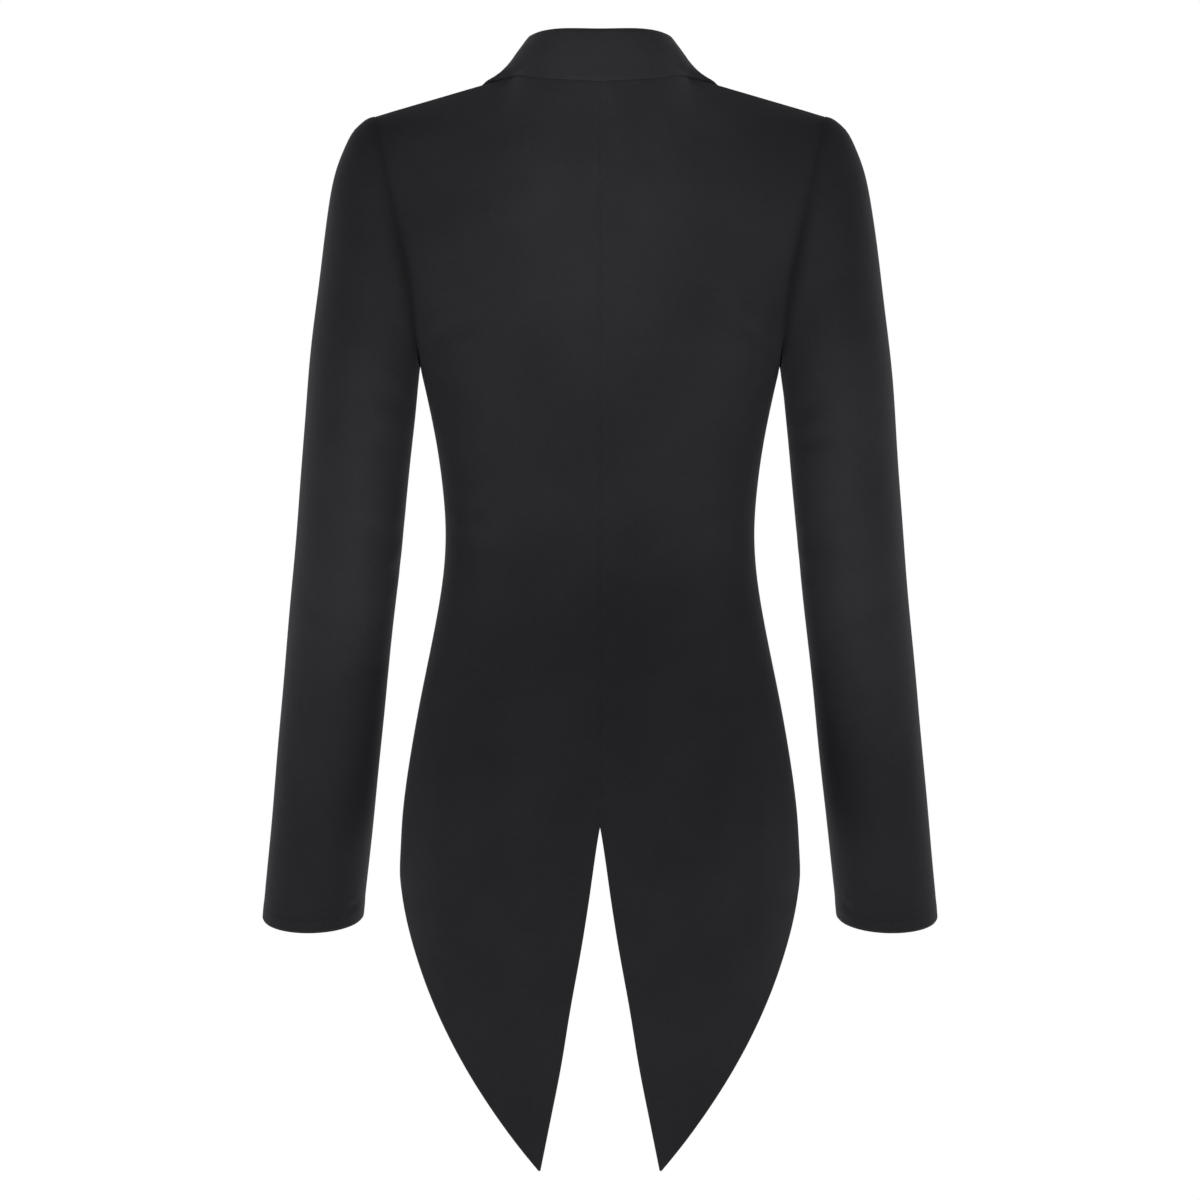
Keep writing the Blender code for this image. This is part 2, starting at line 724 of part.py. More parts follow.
def add_button(tree):
    """A turned button with a raised rim, lying on the right front over the centre."""
    seat, outward = on_front(tree, 0.0, BUTTON_Z, BUTTON_SEAT)
    outward.x = -outward.x
    outline = [
        (0.0, 0.0),
        (BUTTON_RADIUS - BUTTON_RIM, 0.0),
        (BUTTON_RADIUS, BUTTON_RIM),
        (BUTTON_RADIUS, BUTTON_THICKNESS - BUTTON_RIM),
        (BUTTON_RADIUS - BUTTON_RIM, BUTTON_THICKNESS),
        (BUTTON_RADIUS - 2 * BUTTON_RIM, BUTTON_THICKNESS),
        (BUTTON_RADIUS - 3 * BUTTON_RIM, BUTTON_THICKNESS - BUTTON_DISH),
        (0.0, BUTTON_THICKNESS - BUTTON_DISH),
    ]
    edit = bmesh.new()
    verts = [edit.verts.new((radius, 0.0, height)) for radius, height in outline]
    edges = [edit.edges.new(pair) for pair in zip(verts, verts[1:])]
    bmesh.ops.spin(
        edit, geom=verts + edges, cent=(0, 0, 0), axis=(0, 0, 1),
        angle=2 * math.pi, steps=BUTTON_SIDES, use_merge=True,
    )
    bmesh.ops.remove_doubles(edit, verts=edit.verts[:], dist=WELD_DISTANCE)
    button = add_object("button", edit, finish_material("button", BLACK_HORN, HORN_ROUGHNESS))
    button.location = seat
    button.rotation_euler = outward.to_track_quat("Z", "Y").to_euler()
    return button


def build():
    for thing in list(bpy.data.objects):
        bpy.data.objects.remove(thing, do_unlink=True)

    (back, back_n), (front, front_n), (sleeve, sleeve_n) = panel_inner_normals()
    over = lapped(front, front_n)
    for side, label in ((1, "left"), (-1, "right")):
        front_here = front if side > 0 else over
        add_panel("back_" + label, back, back_n, side)
        add_panel("front_" + label, front_here, front_n, side)
        add_panel("sleeve_" + label, sleeve, sleeve_n, side, True)

    reach = 2 * FRONT_LAP
    add_lapel("lapel_left", surface_tree([widened(front, reach)]), True, 1)
    add_lapel("lapel_right", surface_tree([widened(over, reach)]), False, -1)
    add_collar(surface_tree([back, front]))
    add_button(surface_tree([widened(over, reach)]))


build()
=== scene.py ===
"""A women's tailcoat in smooth black suiting: its look in the photograph's view.

The shape tables are those of the part, in metres in the same frame: X to the wearer's left, Y to
the back and Z up. The first functions work out the part's own grids of points. Each cloth piece
is a finer wall through those points, with its seams, soft creases, hems and stitching added.
"""

import math

import bmesh
import bpy
import numpy as np
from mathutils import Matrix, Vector
from mathutils.bvhtree import BVHTree


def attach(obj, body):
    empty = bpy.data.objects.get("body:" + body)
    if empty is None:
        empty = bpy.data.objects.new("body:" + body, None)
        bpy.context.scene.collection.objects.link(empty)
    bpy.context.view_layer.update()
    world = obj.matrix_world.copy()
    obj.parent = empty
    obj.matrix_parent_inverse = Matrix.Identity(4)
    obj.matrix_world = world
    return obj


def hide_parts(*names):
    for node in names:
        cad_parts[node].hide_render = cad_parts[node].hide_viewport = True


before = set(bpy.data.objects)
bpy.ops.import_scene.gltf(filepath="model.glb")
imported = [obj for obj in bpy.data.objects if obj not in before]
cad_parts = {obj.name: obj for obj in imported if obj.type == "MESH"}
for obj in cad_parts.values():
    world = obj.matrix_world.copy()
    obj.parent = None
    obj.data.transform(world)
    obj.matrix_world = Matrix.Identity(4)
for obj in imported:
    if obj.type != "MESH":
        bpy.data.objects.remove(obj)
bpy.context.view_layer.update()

# Cloth. Here the seams overlap by a hair, so that no light shows through them.
WALL = 0.0020
SEAM_GAP = -0.0001
LAYER_GAP = 0.0006

# Landmarks of the left side
NECK_BACK = np.array((0.0, 0.0580, 0.0100))
NECK_SIDE = np.array((0.0680, 0.0030, 0.0105))
SHOULDER_TIP = np.array((0.1760, 0.0, -0.0208))
UNDERARM_X = 0.1405
UNDERARM_Z = -0.2160
VENT_TOP = -0.5700
SIDE_HEM = -0.6120
TAIL_TIP_X = 0.0454
TAIL_TIP_Z = -0.8320
TAIL_TIP_WIDTH = 0.0015

# Front closing: the fronts lap past the centre by FRONT_LAP and one button holds them
FRONT_LAP = 0.0140
BREAK_Z = -0.3250
CLOSING_END_Z = -0.3620
GORGE = np.array((0.0660, -0.0430, -0.0280))
LAP_LIFT = WALL + LAYER_GAP
LAP_FULL_X = 0.0250
LAP_ENDS_X = 0.0700

# Squareness of the body's cross-section: 2 is an ellipse, and more is boxier
SECTION_POWER = 2.3

# The body's sections. Columns: height, half width, front depth
BODY = [
    (-0.2160, 0.1405, 0.1260),
    (-0.2620, 0.1302, 0.1220),
    (-0.3000, 0.1239, 0.1110),
    (-0.3430, 0.1204, 0.1010),
    (-0.3850, 0.1230, 0.0990),
    (-0.4370, 0.1323, 0.1030),
    (-0.4950, 0.1437, 0.1090),
    (-0.5540, 0.1526, 0.1120),
    (-0.6000, 0.1556, 0.1130),
    (-0.6600, 0.1560, 0.1130),
    (-0.8400, 0.1540, 0.1100),
]

# The centre back. Columns: height, depth
CENTRE_BACK = [
    (0.0100, 0.0580),
    (-0.0200, 0.0685),
    (-0.0650, 0.0840),
    (-0.1100, 0.0945),
    (-0.1600, 0.1000),
    (-0.2160, 0.1000),
    (-0.2800, 0.0920),
    (-0.3430, 0.0830),
    (-0.3950, 0.0870),
    (-0.4600, 0.1030),
    (-0.5300, 0.1160),
    (-0.6000, 0.1200),
    (-0.6700, 0.1170),
    (-0.7500, 0.1110),
    (-0.8400, 0.1050),
]

# The tail's inner edge, from the vent's top down to the tip. Columns: height, half width
VENT_EDGE = [
    (VENT_TOP, 0.0),
    (-0.5946, 0.0040),
    (-0.6248, 0.0082),
    (-0.6626, 0.0142),
    (-0.7080, 0.0224),
    (-0.7534, 0.0298),
    (-0.7990, 0.0388),
    (TAIL_TIP_Z, TAIL_TIP_X),
]

# The tail's outer edge, from the side seam down to the tip. Columns: height, half width
TAIL_EDGE = [
    (SIDE_HEM, 0.1556),
    (-0.6306, 0.1529),
    (-0.6674, 0.1433),
    (-0.7119, 0.1258),
    (-0.7562, 0.1022),
    (-0.8009, 0.0721),
    (TAIL_TIP_Z, TAIL_TIP_X + TAIL_TIP_WIDTH),
]

# The front hem, swept up to the closing edge. Columns: share of the way from the side, height
FRONT_HEM = [
    (0.0, SIDE_HEM),
    (0.25, -0.5600),
    (0.5, -0.4950),
    (0.72, -0.4260),
    (0.86, -0.3790),
    (1.0, CLOSING_END_Z),
]

# Neck edge of the back, from the centre to the neck side
NECK_CURVE = [NECK_BACK, (0.0340, 0.0505, 0.0108), (0.0590, 0.0290, 0.0115), NECK_SIDE]

# Front edge above the underarm: roll line up to the gorge, then the neck seam
FRONT_EDGE_UPPER = [
    (0.0324, -0.1120, -0.1600),
    (0.0430, -0.0945, -0.1200),
    (0.0533, -0.0740, -0.0780),
    GORGE,
    (0.0695, -0.0210, -0.0040),
    NECK_SIDE,
]

# Rings of the sleeve: outer and inner points of each, seen from behind, and its place in depth.
# The scye share is how much of the armhole's own shape a ring still has.
# Columns: outer x and z, inner x and z, middle y, half depth, tilt in degrees, scye share
SLEEVE = [
    (SHOULDER_TIP[0], SHOULDER_TIP[2], UNDERARM_X, UNDERARM_Z, 0.0000, 0.0540, 0.0, 1.00),
    (0.1912, -0.0310, 0.1409, -0.2200, -0.0005, 0.0552, 0.0, 0.70),
    (0.2050, -0.0600, 0.1414, -0.2262, 0.0000, 0.0570, 0.0, 0.35),
    (0.2124, -0.0960, 0.1424, -0.2360, 0.0010, 0.0580, 0.0, 0.10),
    (0.2198, -0.1560, 0.1444, -0.2560, 0.0030, 0.0580, 0.0, 0.00),
    (0.2267, -0.2184, 0.1475, -0.2850, 0.0050, 0.0565, 0.0, 0.00),
    (0.2321, -0.2900, 0.1520, -0.3330, 0.0070, 0.0540, 2.0, 0.00),
    (0.2373, -0.3550, 0.1577, -0.3900, 0.0030, 0.0515, 7.0, 0.00),
    (0.2444, -0.4300, 0.1645, -0.4480, -0.0120, 0.0490, 11.0, 0.00),
    (0.2550, -0.5310, 0.1746, -0.5370, -0.0330, 0.0465, 13.0, 0.00),
    (0.2668, -0.6490, 0.1872, -0.6480, -0.0575, 0.0440, 14.0, 0.00),
]
RINGS_PER_ROW = 2
AROUND_HALF = 14

# Armhole: the ring of the seam, fuller low down and cut in more at the front than at the back
SCYE_EGG = 0.12
SCYE_LOW_SHARE = 0.6
SCYE_CUT_BACK = 0.0030
SCYE_CUT_FRONT = 0.0110

# Collar, at stations from the centre back to the gorge. Columns: base, fold, middle of the leaf,
# leaf's edge, radius of the roll
COLLAR = [
    (NECK_BACK, (0.0, 0.0545, 0.0408), (0.0, 0.0615, 0.0205), (0.0, 0.0638, 0.0000), 0.0030),
    (
        NECK_CURVE[1], (0.0315, 0.0475, 0.0416), (0.0375, 0.0520, 0.0225),
        (0.0430, 0.0502, 0.0040), 0.0030,
    ),
    (
        NECK_CURVE[2], (0.0500, 0.0265, 0.0402), (0.0612, 0.0262, 0.0235),
        (0.0690, 0.0112, 0.0092), 0.0028,
    ),
    (
        NECK_SIDE, (0.0575, 0.0010, 0.0350), (0.0735, -0.0005, 0.0190),
        (0.0915, -0.0010, 0.0060), 0.0026,
    ),
    (
        FRONT_EDGE_UPPER[4], (0.0625, -0.0230, 0.0165), (0.0840, -0.0280, 0.0010),
        (0.1040, -0.0305, -0.0155), 0.0026,
    ),
    (
        GORGE, (0.0645, -0.0470, -0.0215), (0.1000, -0.0590, -0.0490),
        (0.1180, -0.0520, -0.0410), 0.0022,
    ),
]
COLLAR_STEPS = 6
COLLAR_PLACES = [0, 0.5, 1, 1.5, 2, 2.5, 3, 3.33, 3.67, 4, 4.33, 4.67, 5]
LEAF_START = COLLAR_PLACES.index(3)
COLLAR_SEAT = 0.0005
COLLAR_CLEARANCE = 0.0008
# How far the leaf's edge is drawn down onto the cloth under it. Columns: station, share
LEAF_DRAW = [(0, 0.0), (1, 0.3), (2, 1.0), (3, 1.0), (4, 0.4), (5, 0.0)]
# Places across the collar between which its lines turn from round to tight, and how tight
LEAF_TIGHT_FROM = 0.25
LEAF_TIGHT_TO = 0.85
LEAF_PULL = 0.75

# Lapel, in the front view: gorge line from the roll line through the notch to the point
LAPEL_POINT = np.array((0.1340, 0.0, -0.0800))
LAPEL_BELLY = 0.0100
LAPEL_END_WIDTH = 0.0040
LAPEL_END_RISE = 0.0040
LAPEL_ROLL_GAP = 0.0006
LAPEL_ROLL_LIFT = 0.0035
LAPEL_GORGE_GAP = 0.0020
LAPEL_LIFT = 0.0014
LAPEL_ROWS = 90
LAPEL_COLUMNS = 28
LAPEL_SMOOTHING = 6

# Button. Columns of its outline: radius, height
BUTTON_Z = -0.3420
BUTTON_SEAT = 0.0005
BUTTON_OUTLINE = [
    (0.0, 0.0), (0.0078, 0.0), (0.0088, 0.0003), (0.0096, 0.0010), (0.0100, 0.0018),
    (0.0099, 0.0026), (0.0093, 0.0033), (0.0086, 0.0036), (0.0079, 0.0034),
    (0.0073, 0.0029), (0.0067, 0.0025), (0.0055, 0.0023), (0.0030, 0.0022), (0.0, 0.0022),
]
HOLE_PLACE = 0.0019
HOLE_RADIUS = 0.0008
THREAD_RADIUS = 0.0003
THREAD_BASE = 0.0015
THREAD_RISE = 0.0013
THREAD_CROSSING = 0.0004

# Grid counts
TAIL_ROWS = 10
VENT_ROWS = 2
BODICE_ROWS = 11
FRONT_ROWS = 10
PANEL_COLUMNS = 12
NECK_COLUMNS = 5
SMOOTHING_PASSES = 4

# Smallest height difference that counts, and the fold between two walls that ends their mitre
SAME_HEIGHT = 1e-6
MITRE_FOLD = -0.6

# Finer grids: distances between points, and extra lines beside an edge
ROW_SPACING = 0.0034
COLUMN_SPACING = 0.0030
COLLAR_ROW_SPACING = 0.0030
COLLAR_COLUMN_SPACING = 0.0022
EDGE_LINES = (0.0006, 0.0013, 0.0022, 0.0034, 0.0050, 0.0072)
COLLAR_SEAM_LINES = EDGE_LINES[:3]
CLOSEST_LINES = 0.0004
NECK_CORNER_REACH = 0.08

# Sleeve rings: points for each one of the part's, and points repeated to close the curve smoothly
RING_REFINEMENT = 3
RING_WRAP = 4

# How far from an edge the part's own normals, the rounding and the calm cloth reach
OWN_NORMALS_REACH = 0.0022
ROUNDING_DEPTH = 0.0006
ROUNDING_REACH = 0.0007
LEAF_PRESS_DEPTH = 0.0010
LEAF_PRESS_REACH = 0.0020
CALM_REACH = 0.028

# Heights between which the back of the armhole counts as low, its hollow ends and its groove fades
ARMHOLE_LOW = (-0.060, -0.150)
HOLLOW_ENDS = (-0.150, -0.200)
SHOULDER_FADES = (-0.05, -0.03)

# Relief beside seams and edges. Columns: height, distance from the seam, half width
SEAM_GROOVE = (-0.0005, 0.0, 0.0012)
SEAM_SWELL = (0.00015, 0.0040, 0.0030)
SIDE_GROOVE = (-0.0004, 0.0, 0.0012)
TOP_GROOVE = (-0.0003, 0.0, 0.0012)
ARMHOLE_GROOVE = (-0.0006, 0.0, 0.0014)
ARMHOLE_HOLLOW = (-0.0004, 0.0, 0.0080)
SLEEVE_HOLLOW = (-0.0010, 0.0, 0.0080)
SLEEVE_HEAD = (0.0004, 0.0060, 0.0045)
PRESSED_LEFT = (0.0011, 0.0030, 0.0022)
PRESSED_RIGHT = (-0.0011, 0.0055, 0.0030)
VENT_SWELL = (0.0004, 0.0, 0.0060)

# The turned-up cuff, and the shares by which grooves weaken and the hollow and the head deepen
CUFF_SWELL = 0.0003
UPPER_GROOVE_LOSS = 0.6
HOLLOW_GAIN = 2.25
HEAD_GAIN = 0.5

# Stretches over which a relief line comes in or goes out. Columns: still none, all of it
SEAM_COMES = (VENT_TOP - 0.002, VENT_TOP + 0.004)
SIDE_COMES = (SIDE_HEM - 0.001, SIDE_HEM + 0.003)
ARMHOLE_COMES = (UNDERARM_Z - 0.006, UNDERARM_Z + 0.004)
SEAM_WEAKENS = (-0.085, -0.030)
PRESSED_COMES = (-0.080, -0.062)
PRESSED_GOES = (-0.005, -0.016)
LAP_FLATTENS = (0.075, 0.040)
CUFF_COMES = (0.0, 0.0016)
CUFF_GOES = (0.016, 0.011)

# A back's edge counts as free where it lies this far below the end of its seam
FREE_BELOW = 0.001

# How far the shade painted along the armhole seam reaches on a panel and on a sleeve
PANEL_PAINTED_SHADE_WIDTH = 0.0055
SLEEVE_PAINTED_SHADE_WIDTH = 0.0075

# Soft unevenness of each kind of piece. Columns: size, phase on the left, phase on the right
UNEVENNESS = {"back": (0.0005, 0.4, 2.3), "front": (0.0004, 1.1, 3.0), "sleeve": (0.0006, 0.9, 4.1)}

# Creases, in millimetres. A crease is a soft trough through three points near the
# cloth of the left side. The right side has nearly the same one.
# Columns: three points, half width, depth, and for the right side the shift in x and z and the
# share of the depth
CREASES = {
    "back": [
        ((128, 45, -205), (112, 70, -190), (94, 85, -183), 7.0, 1.2, (-4, 4, 0.85)),
        ((131, 40, -222), (114, 66, -238), (98, 80, -262), 8.0, 1.1, (2, -6, 1.15)),
        ((117, 30, -318), (96, 60, -329), (70, 75, -333), 9.0, 0.8, (-6, 3, 1.2)),
        ((118, 30, -352), (92, 60, -356), (60, 75, -351), 10.0, 0.7, (4, -5, 0.7)),
        ((62, 110, -470), (60, 112, -560), (66, 110, -660), 17.0, 1.0, (-5, 10, 0.9)),
        ((112, 95, -500), (108, 98, -590), (98, 100, -680), 15.0, 0.9, (3, -12, 1.1)),
        ((60, 108, -690), (57, 106, -750), (54, 105, -800), 11.0, 0.8, (-3, 8, 0.8)),
        ((20, 66, -20), (52, 56, -30), (90, 40, -34), 11.0, 0.6, (4, 2, 1.1)),
    ],
    "front": [
        ((130, -45, -205), (116, -80, -196), (96, -100, -196), 7.0, 1.2, (3, -4, 1.1)),
        ((128, -40, -232), (108, -80, -258), (84, -98, -288), 9.0, 1.0, (-3, 6, 0.85)),
        ((116, -30, -330), (88, -70, -340), (52, -90, -344), 9.0, 1.1, (4, 3, 0.9)),
        ((118, -35, -366), (92, -70, -362), (58, -90, -352), 9.0, 0.8, (-4, -4, 1.2)),
        ((130, -50, -440), (136, -55, -500), (144, -50, -560), 14.0, 0.9, (2, 8, 0.9)),
    ],
    "sleeve": [
        ((146, 20, -252), (152, 50, -246), (176, 62, -236), 8.0, 1.4, (2, -4, 0.8)),
        ((148, 20, -283), (158, 52, -282), (186, 62, -272), 8.0, 1.0, (-2, 5, 1.2)),
        ((155, 10, -342), (166, 48, -350), (196, 60, -352), 10.0, 1.1, (3, -6, 1.15)),
        ((160, 10, -372), (172, 44, -384), (200, 52, -392), 9.0, 1.2, (2, 6, 0.8)),
        ((232, 35, -400), (210, 42, -412), (186, 34, -416), 9.0, 0.9, (-4, 4, 1.1)),
        ((166, 0, -440), (178, 28, -452), (204, 34, -462), 11.0, 0.9, (2, -8, 0.9)),
        ((150, -20, -252), (162, -46, -246), (190, -52, -232), 8.0, 1.3, (2, 4, 1.1)),
        ((162, -35, -372), (184, -52, -366), (214, -48, -356), 8.0, 1.6, (-2, -5, 0.85)),
        ((166, -45, -402), (188, -62, -400), (222, -56, -390), 8.0, 1.5, (2, 6, 1.15)),
        ((170, -50, -432), (190, -70, -436), (222, -66, -430), 10.0, 1.0, (-3, -4, 0.9)),
        ((238, 10, -500), (232, 12, -560), (236, -10, -615), 12.0, 0.7, (-2, 10, 1.1)),
        ((199, -22, -640.5), (194, -27, -639), (190, -33, -638), 2.8, 2.4, (0, 1, 0.9)),
    ],
}

# Cloth look, linear colours
CLOTH_DARK = (0.0180, 0.0176, 0.0200, 1.0)
CLOTH_LIGHT = (0.0290, 0.0284, 0.0318, 1.0)
CLOTH_WORN = (0.0330, 0.0330, 0.0350, 1.0)
# Painted shade along the armhole seams; the same dark colour also marks the hem stitching
CLOTH_PAINTED_SHADE_AND_STITCH = (0.0070, 0.0070, 0.0080, 1.0)
LINING = (0.0110, 0.0110, 0.0125, 1.0)
CLOTH_ROUGH = 0.74
CLOTH_SPECULAR = 0.16
CLOTH_SHEEN = 0.06
TWILL_ACROSS = 5200.0
TWILL_UP = 7400.0
HEM_STITCH_AT = 0.0105
HEM_STITCH_LENGTH = 0.0062

HORN_DARK = (0.0060, 0.0058, 0.0060, 1.0)
HORN_LIGHT = (0.0220, 0.0200, 0.0190, 1.0)
THREAD_DARK = (0.0080, 0.0080, 0.0090, 1.0)
THREAD_LIGHT = (0.0260, 0.0260, 0.0280, 1.0)

# View
CAMERA_HEIGHT = -0.3980
CAMERA_DISTANCE = 4.0
CAMERA_LENS = 153.85
FLOOR_Z = -1.4500
FLOOR_HALF = 2.6
FLOOR_CORNERS = ((-1, -1), (1, -1), (1, 1), (-1, 1))
FLOOR_DARK = (0.84, 0.84, 0.84, 1.0)
FLOOR_LIGHT = (0.88, 0.88, 0.88, 1.0)

# Light
WORLD_POLES = 0.40
WORLD_BESIDE = 0.35
KEY_POWER = 45.0
SLEEVE_POWER = 150.0
FLOOR_POWER = 48.0
UPPER_BACK_POWER = 145.0

# Each piece's bounding cut, width and length in metres, and what it hangs from or lies on
SHEETS = {
    "back_left": ((0.235, 0.880), ["sleeve_left", "collar"]),
    "back_right": ((0.235, 0.880), ["sleeve_right", "collar"]),
    "front_left": ((0.260, 0.620), ["back_left"]),
    "front_right": ((0.260, 0.620), ["back_right", "front_left"]),
    "sleeve_left": ((0.345, 0.640), ["back_left", "front_left"]),
    "sleeve_right": ((0.345, 0.640), ["back_right", "front_right"]),
    "collar": ((0.460, 0.110), ["back_left", "back_right"]),
    "lapel_left": ((0.110, 0.310), ["front_left"]),
    "lapel_right": ((0.110, 0.310), ["front_right"]),
}


def blend(start, end, share):
    """A value or point part of the way from start to end."""
    return start + (end - start) * share


def smooth_steps(low, high, values):
    """0 at low and before it, 1 at high and past it, and an even S between."""
    share = np.clip((values - low) / (high - low), 0.0, 1.0)
    return share * share * (3.0 - 2.0 * share)


def hump(values, centre, width):
    return np.exp(-(((values - centre) / width) ** 2))


def unit(vectors):
    return vectors / np.linalg.norm(vectors, axis=-1, keepdims=True)


def pulled_weights(knots, places, pull=1.0):
    """Weights of smooth curves through values at the knots, straighter for a smaller pull."""
    last = len(knots) - 1
    slopes = np.zeros((last + 1, last + 1))
    for i in range(last + 1):
        before = max(i - 1, 0)
        after = min(i + 1, last)
        slopes[i, after] = pull / (knots[after] - knots[before])
        slopes[i, before] = -slopes[i, after]
    at = np.clip(np.searchsorted(knots, places, side="right") - 1, 0, last - 1)
    weights = np.zeros((len(places), last + 1))
    for row, (k, place) in enumerate(zip(at, places)):
        step = knots[k + 1] - knots[k]
        t = (place - knots[k]) / step
        weights[row, k] += (1 + 2 * t) * (1 - t) ** 2
        weights[row, k + 1] += t * t * (3 - 2 * t)
        weights[row] += step * t * (1 - t) * ((1 - t) * slopes[k] - t * slopes[k + 1])
    return weights


def lookup(table, key):
    """Smooth values at a key, from rows that start with their key."""
    rows = np.array(sorted(tuple(row) for row in table))
    keys = rows[:, 0]
    return pulled_weights(keys, [min(max(key, keys[0]), keys[-1])])[0] @ rows[:, 1:]


def steps(start, end, count):
    """Count values or points after start, evenly up to end."""
    return [start + (end - start) * (i + 1) / count for i in range(count)]


def path_points(points, count):
    """Evenly spaced points along the smooth curve through the given ones."""
    lengths = np.linalg.norm(np.diff(points, axis=0), axis=1)
    shares = np.concatenate([[0.0], np.cumsum(lengths)]) / lengths.sum()
    table = np.column_stack([shares, points])
    return [lookup(table, i / (count - 1)) for i in range(count)]


# --- the worn form ----------------------------------------


def centre_back(height):
    return lookup(CENTRE_BACK, height)[0]


def section_point(angle, height):
    """Point of the body's section at a height. The angle is 0 at the centre back."""
    half_width, front_depth = lookup(BODY, height)
    depth = centre_back(height) if math.cos(angle) > 0 else front_depth
    power = 2.0 / SECTION_POWER
    x = half_width * math.copysign(abs(math.sin(angle)) ** power, math.sin(angle))
    y = depth * math.copysign(abs(math.cos(angle)) ** power, math.cos(angle))
    return x, y, height


def section_angle(x, height):
    """Angle from the centre line to the point of the section that has this x."""
    half_width = lookup(BODY, height)[0]
    share = min(1.0, abs(x) / half_width) ** (SECTION_POWER / 2.0)
    return math.copysign(math.asin(share), x)


def ring_points(ring, angles):
    """Points of a sleeve ring. The angle is 0 at the top, and a quarter turn is at the back."""
    outer_x, outer_z, inner_x, inner_z, middle_y, half_depth, tilt, scye = ring
    cosine = np.cos(angles)
    sine = np.sin(angles)
    cut = np.where(sine > 0, SCYE_CUT_BACK, SCYE_CUT_FRONT)
    x = (outer_x + inner_x) / 2 + (outer_x - inner_x) / 2 * cosine
    x = x - scye * cut * sine * sine * (1.0 - SCYE_LOW_SHARE * cosine)
    z = (outer_z + inner_z) / 2 + (outer_z - inner_z) / 2 * cosine
    reach = half_depth * sine * (1.0 - scye * SCYE_EGG * cosine)
    tilt = math.radians(tilt)
    return np.stack([x, middle_y + reach * math.cos(tilt), z - reach * math.sin(tilt)], axis=-1)


def armhole_points(half_turn):
    """Half of the armhole, from the underarm up, on the side of the half turn's sign."""
    return ring_points(SLEEVE[0], half_turn * (1 - np.arange(AROUND_HALF + 1) / AROUND_HALF))


# --- grids of the cloth pieces ----------------------------


def add_upper(lower, top, left, right):
    """A panel's lower rows, and above them rows that fill four edges, evened out between both."""
    bottom, top, left, right = (np.array(line) for line in (lower[-1], top, left, right))
    u = (np.arange(len(bottom)) / (len(bottom) - 1))[None, :, None]
    v = (np.arange(len(left)) / (len(left) - 1))[:, None, None]
    corners = blend(blend(bottom[0], bottom[-1], u), blend(top[0], top[-1], u), v)
    filled = blend(bottom[None], top[None], v) + blend(left[:, None], right[:, None], u) - corners
    grid = np.concatenate([lower[:-1], filled])
    start = len(lower) - 3
    for _ in range(SMOOTHING_PASSES):
        sides = grid[start:-1, :-2] + grid[start:-1, 2:]
        around = grid[start - 1:-2, 1:-1] + grid[start + 1:, 1:-1] + sides
        grid[start:-1, 1:-1] = blend(grid[start:-1, 1:-1], around / 4, 0.5)
    return grid


def back_grid():
    """The left back with its tail: rows from the tail's tip up, columns from the centre out."""
    heights = [TAIL_TIP_Z]
    heights += steps(TAIL_TIP_Z, SIDE_HEM, TAIL_ROWS)
    heights += steps(SIDE_HEM, VENT_TOP, VENT_ROWS)
    heights += steps(VENT_TOP, UNDERARM_Z, BODICE_ROWS)
    lower = []
    for height in heights:
        start = 0.0
        end = math.pi / 2
        if height < VENT_TOP:
            start = section_angle(lookup(VENT_EDGE, height)[0], height)
        if height < SIDE_HEM - SAME_HEIGHT:
            end = section_angle(lookup(TAIL_EDGE, height)[0], height)
        angles = [blend(start, end, j / PANEL_COLUMNS) for j in range(PANEL_COLUMNS + 1)]
        lower.append([section_point(angle, height) for angle in angles])

    rising = [blend(UNDERARM_Z, NECK_BACK[2], i / AROUND_HALF) for i in range(AROUND_HALF + 1)]
    centre = [(0.0, centre_back(height), height) for height in rising]
    top = path_points(NECK_CURVE, NECK_COLUMNS + 1)
    top += steps(NECK_SIDE, SHOULDER_TIP, PANEL_COLUMNS - NECK_COLUMNS)
    return add_upper(lower, top, centre, armhole_points(math.pi))


def roll_line_x(height):
    """Where the front edge is, below the underarm: the roll line, then the closing edge."""
    if height < BREAK_Z:
        return -FRONT_LAP
    return blend(-FRONT_LAP, GORGE[0], (height - BREAK_Z) / (GORGE[2] - BREAK_Z))


def front_grid():
    """The left front: rows from the hem up, columns from the side seam to the front edge."""
    lower = []
    for i in range(FRONT_ROWS + 1):
        v = i / FRONT_ROWS
        edge_height = blend(CLOSING_END_Z, UNDERARM_Z, v)
        edge_angle = math.pi - section_angle(roll_line_x(edge_height), edge_height)
        row = []
        for j in range(PANEL_COLUMNS + 1):
            u = j / PANEL_COLUMNS
            height = blend(lookup(FRONT_HEM, u)[0], UNDERARM_Z, v)
            row.append(section_point(blend(math.pi / 2, edge_angle, u), height))
        lower.append(row)
    edge = path_points([lower[-1][-1]] + FRONT_EDGE_UPPER, AROUND_HALF + 1)
    top = [SHOULDER_TIP] + steps(SHOULDER_TIP, NECK_SIDE, PANEL_COLUMNS)
    return add_upper(lower, top, armhole_points(-math.pi), edge)


def sleeve_grid():
    """The left sleeve: closed rings from the armhole to the cuff."""
    rows = [(i, *ring) for i, ring in enumerate(SLEEVE)]
    angles = math.pi * np.arange(2 * AROUND_HALF) / AROUND_HALF
    count = (len(SLEEVE) - 1) * RINGS_PER_ROW + 1
    grid = np.array([ring_points(lookup(rows, i / RINGS_PER_ROW), angles) for i in range(count)])
    grid[0, :, 0] += SEAM_GAP
    return grid


def grid_quads(rows, columns, closed):
    """The numbers of a grid's points, and of the four points of each face."""
    index = np.arange(rows * columns).reshape(rows, columns)
    after = np.roll(index, -1, axis=1) if closed else index[:, 1:]
    here = index if closed else index[:, :-1]
    quads = np.stack([here[:-1], after[:-1], after[1:], here[1:]], axis=-1)
    return index, quads.reshape(-1, 4)


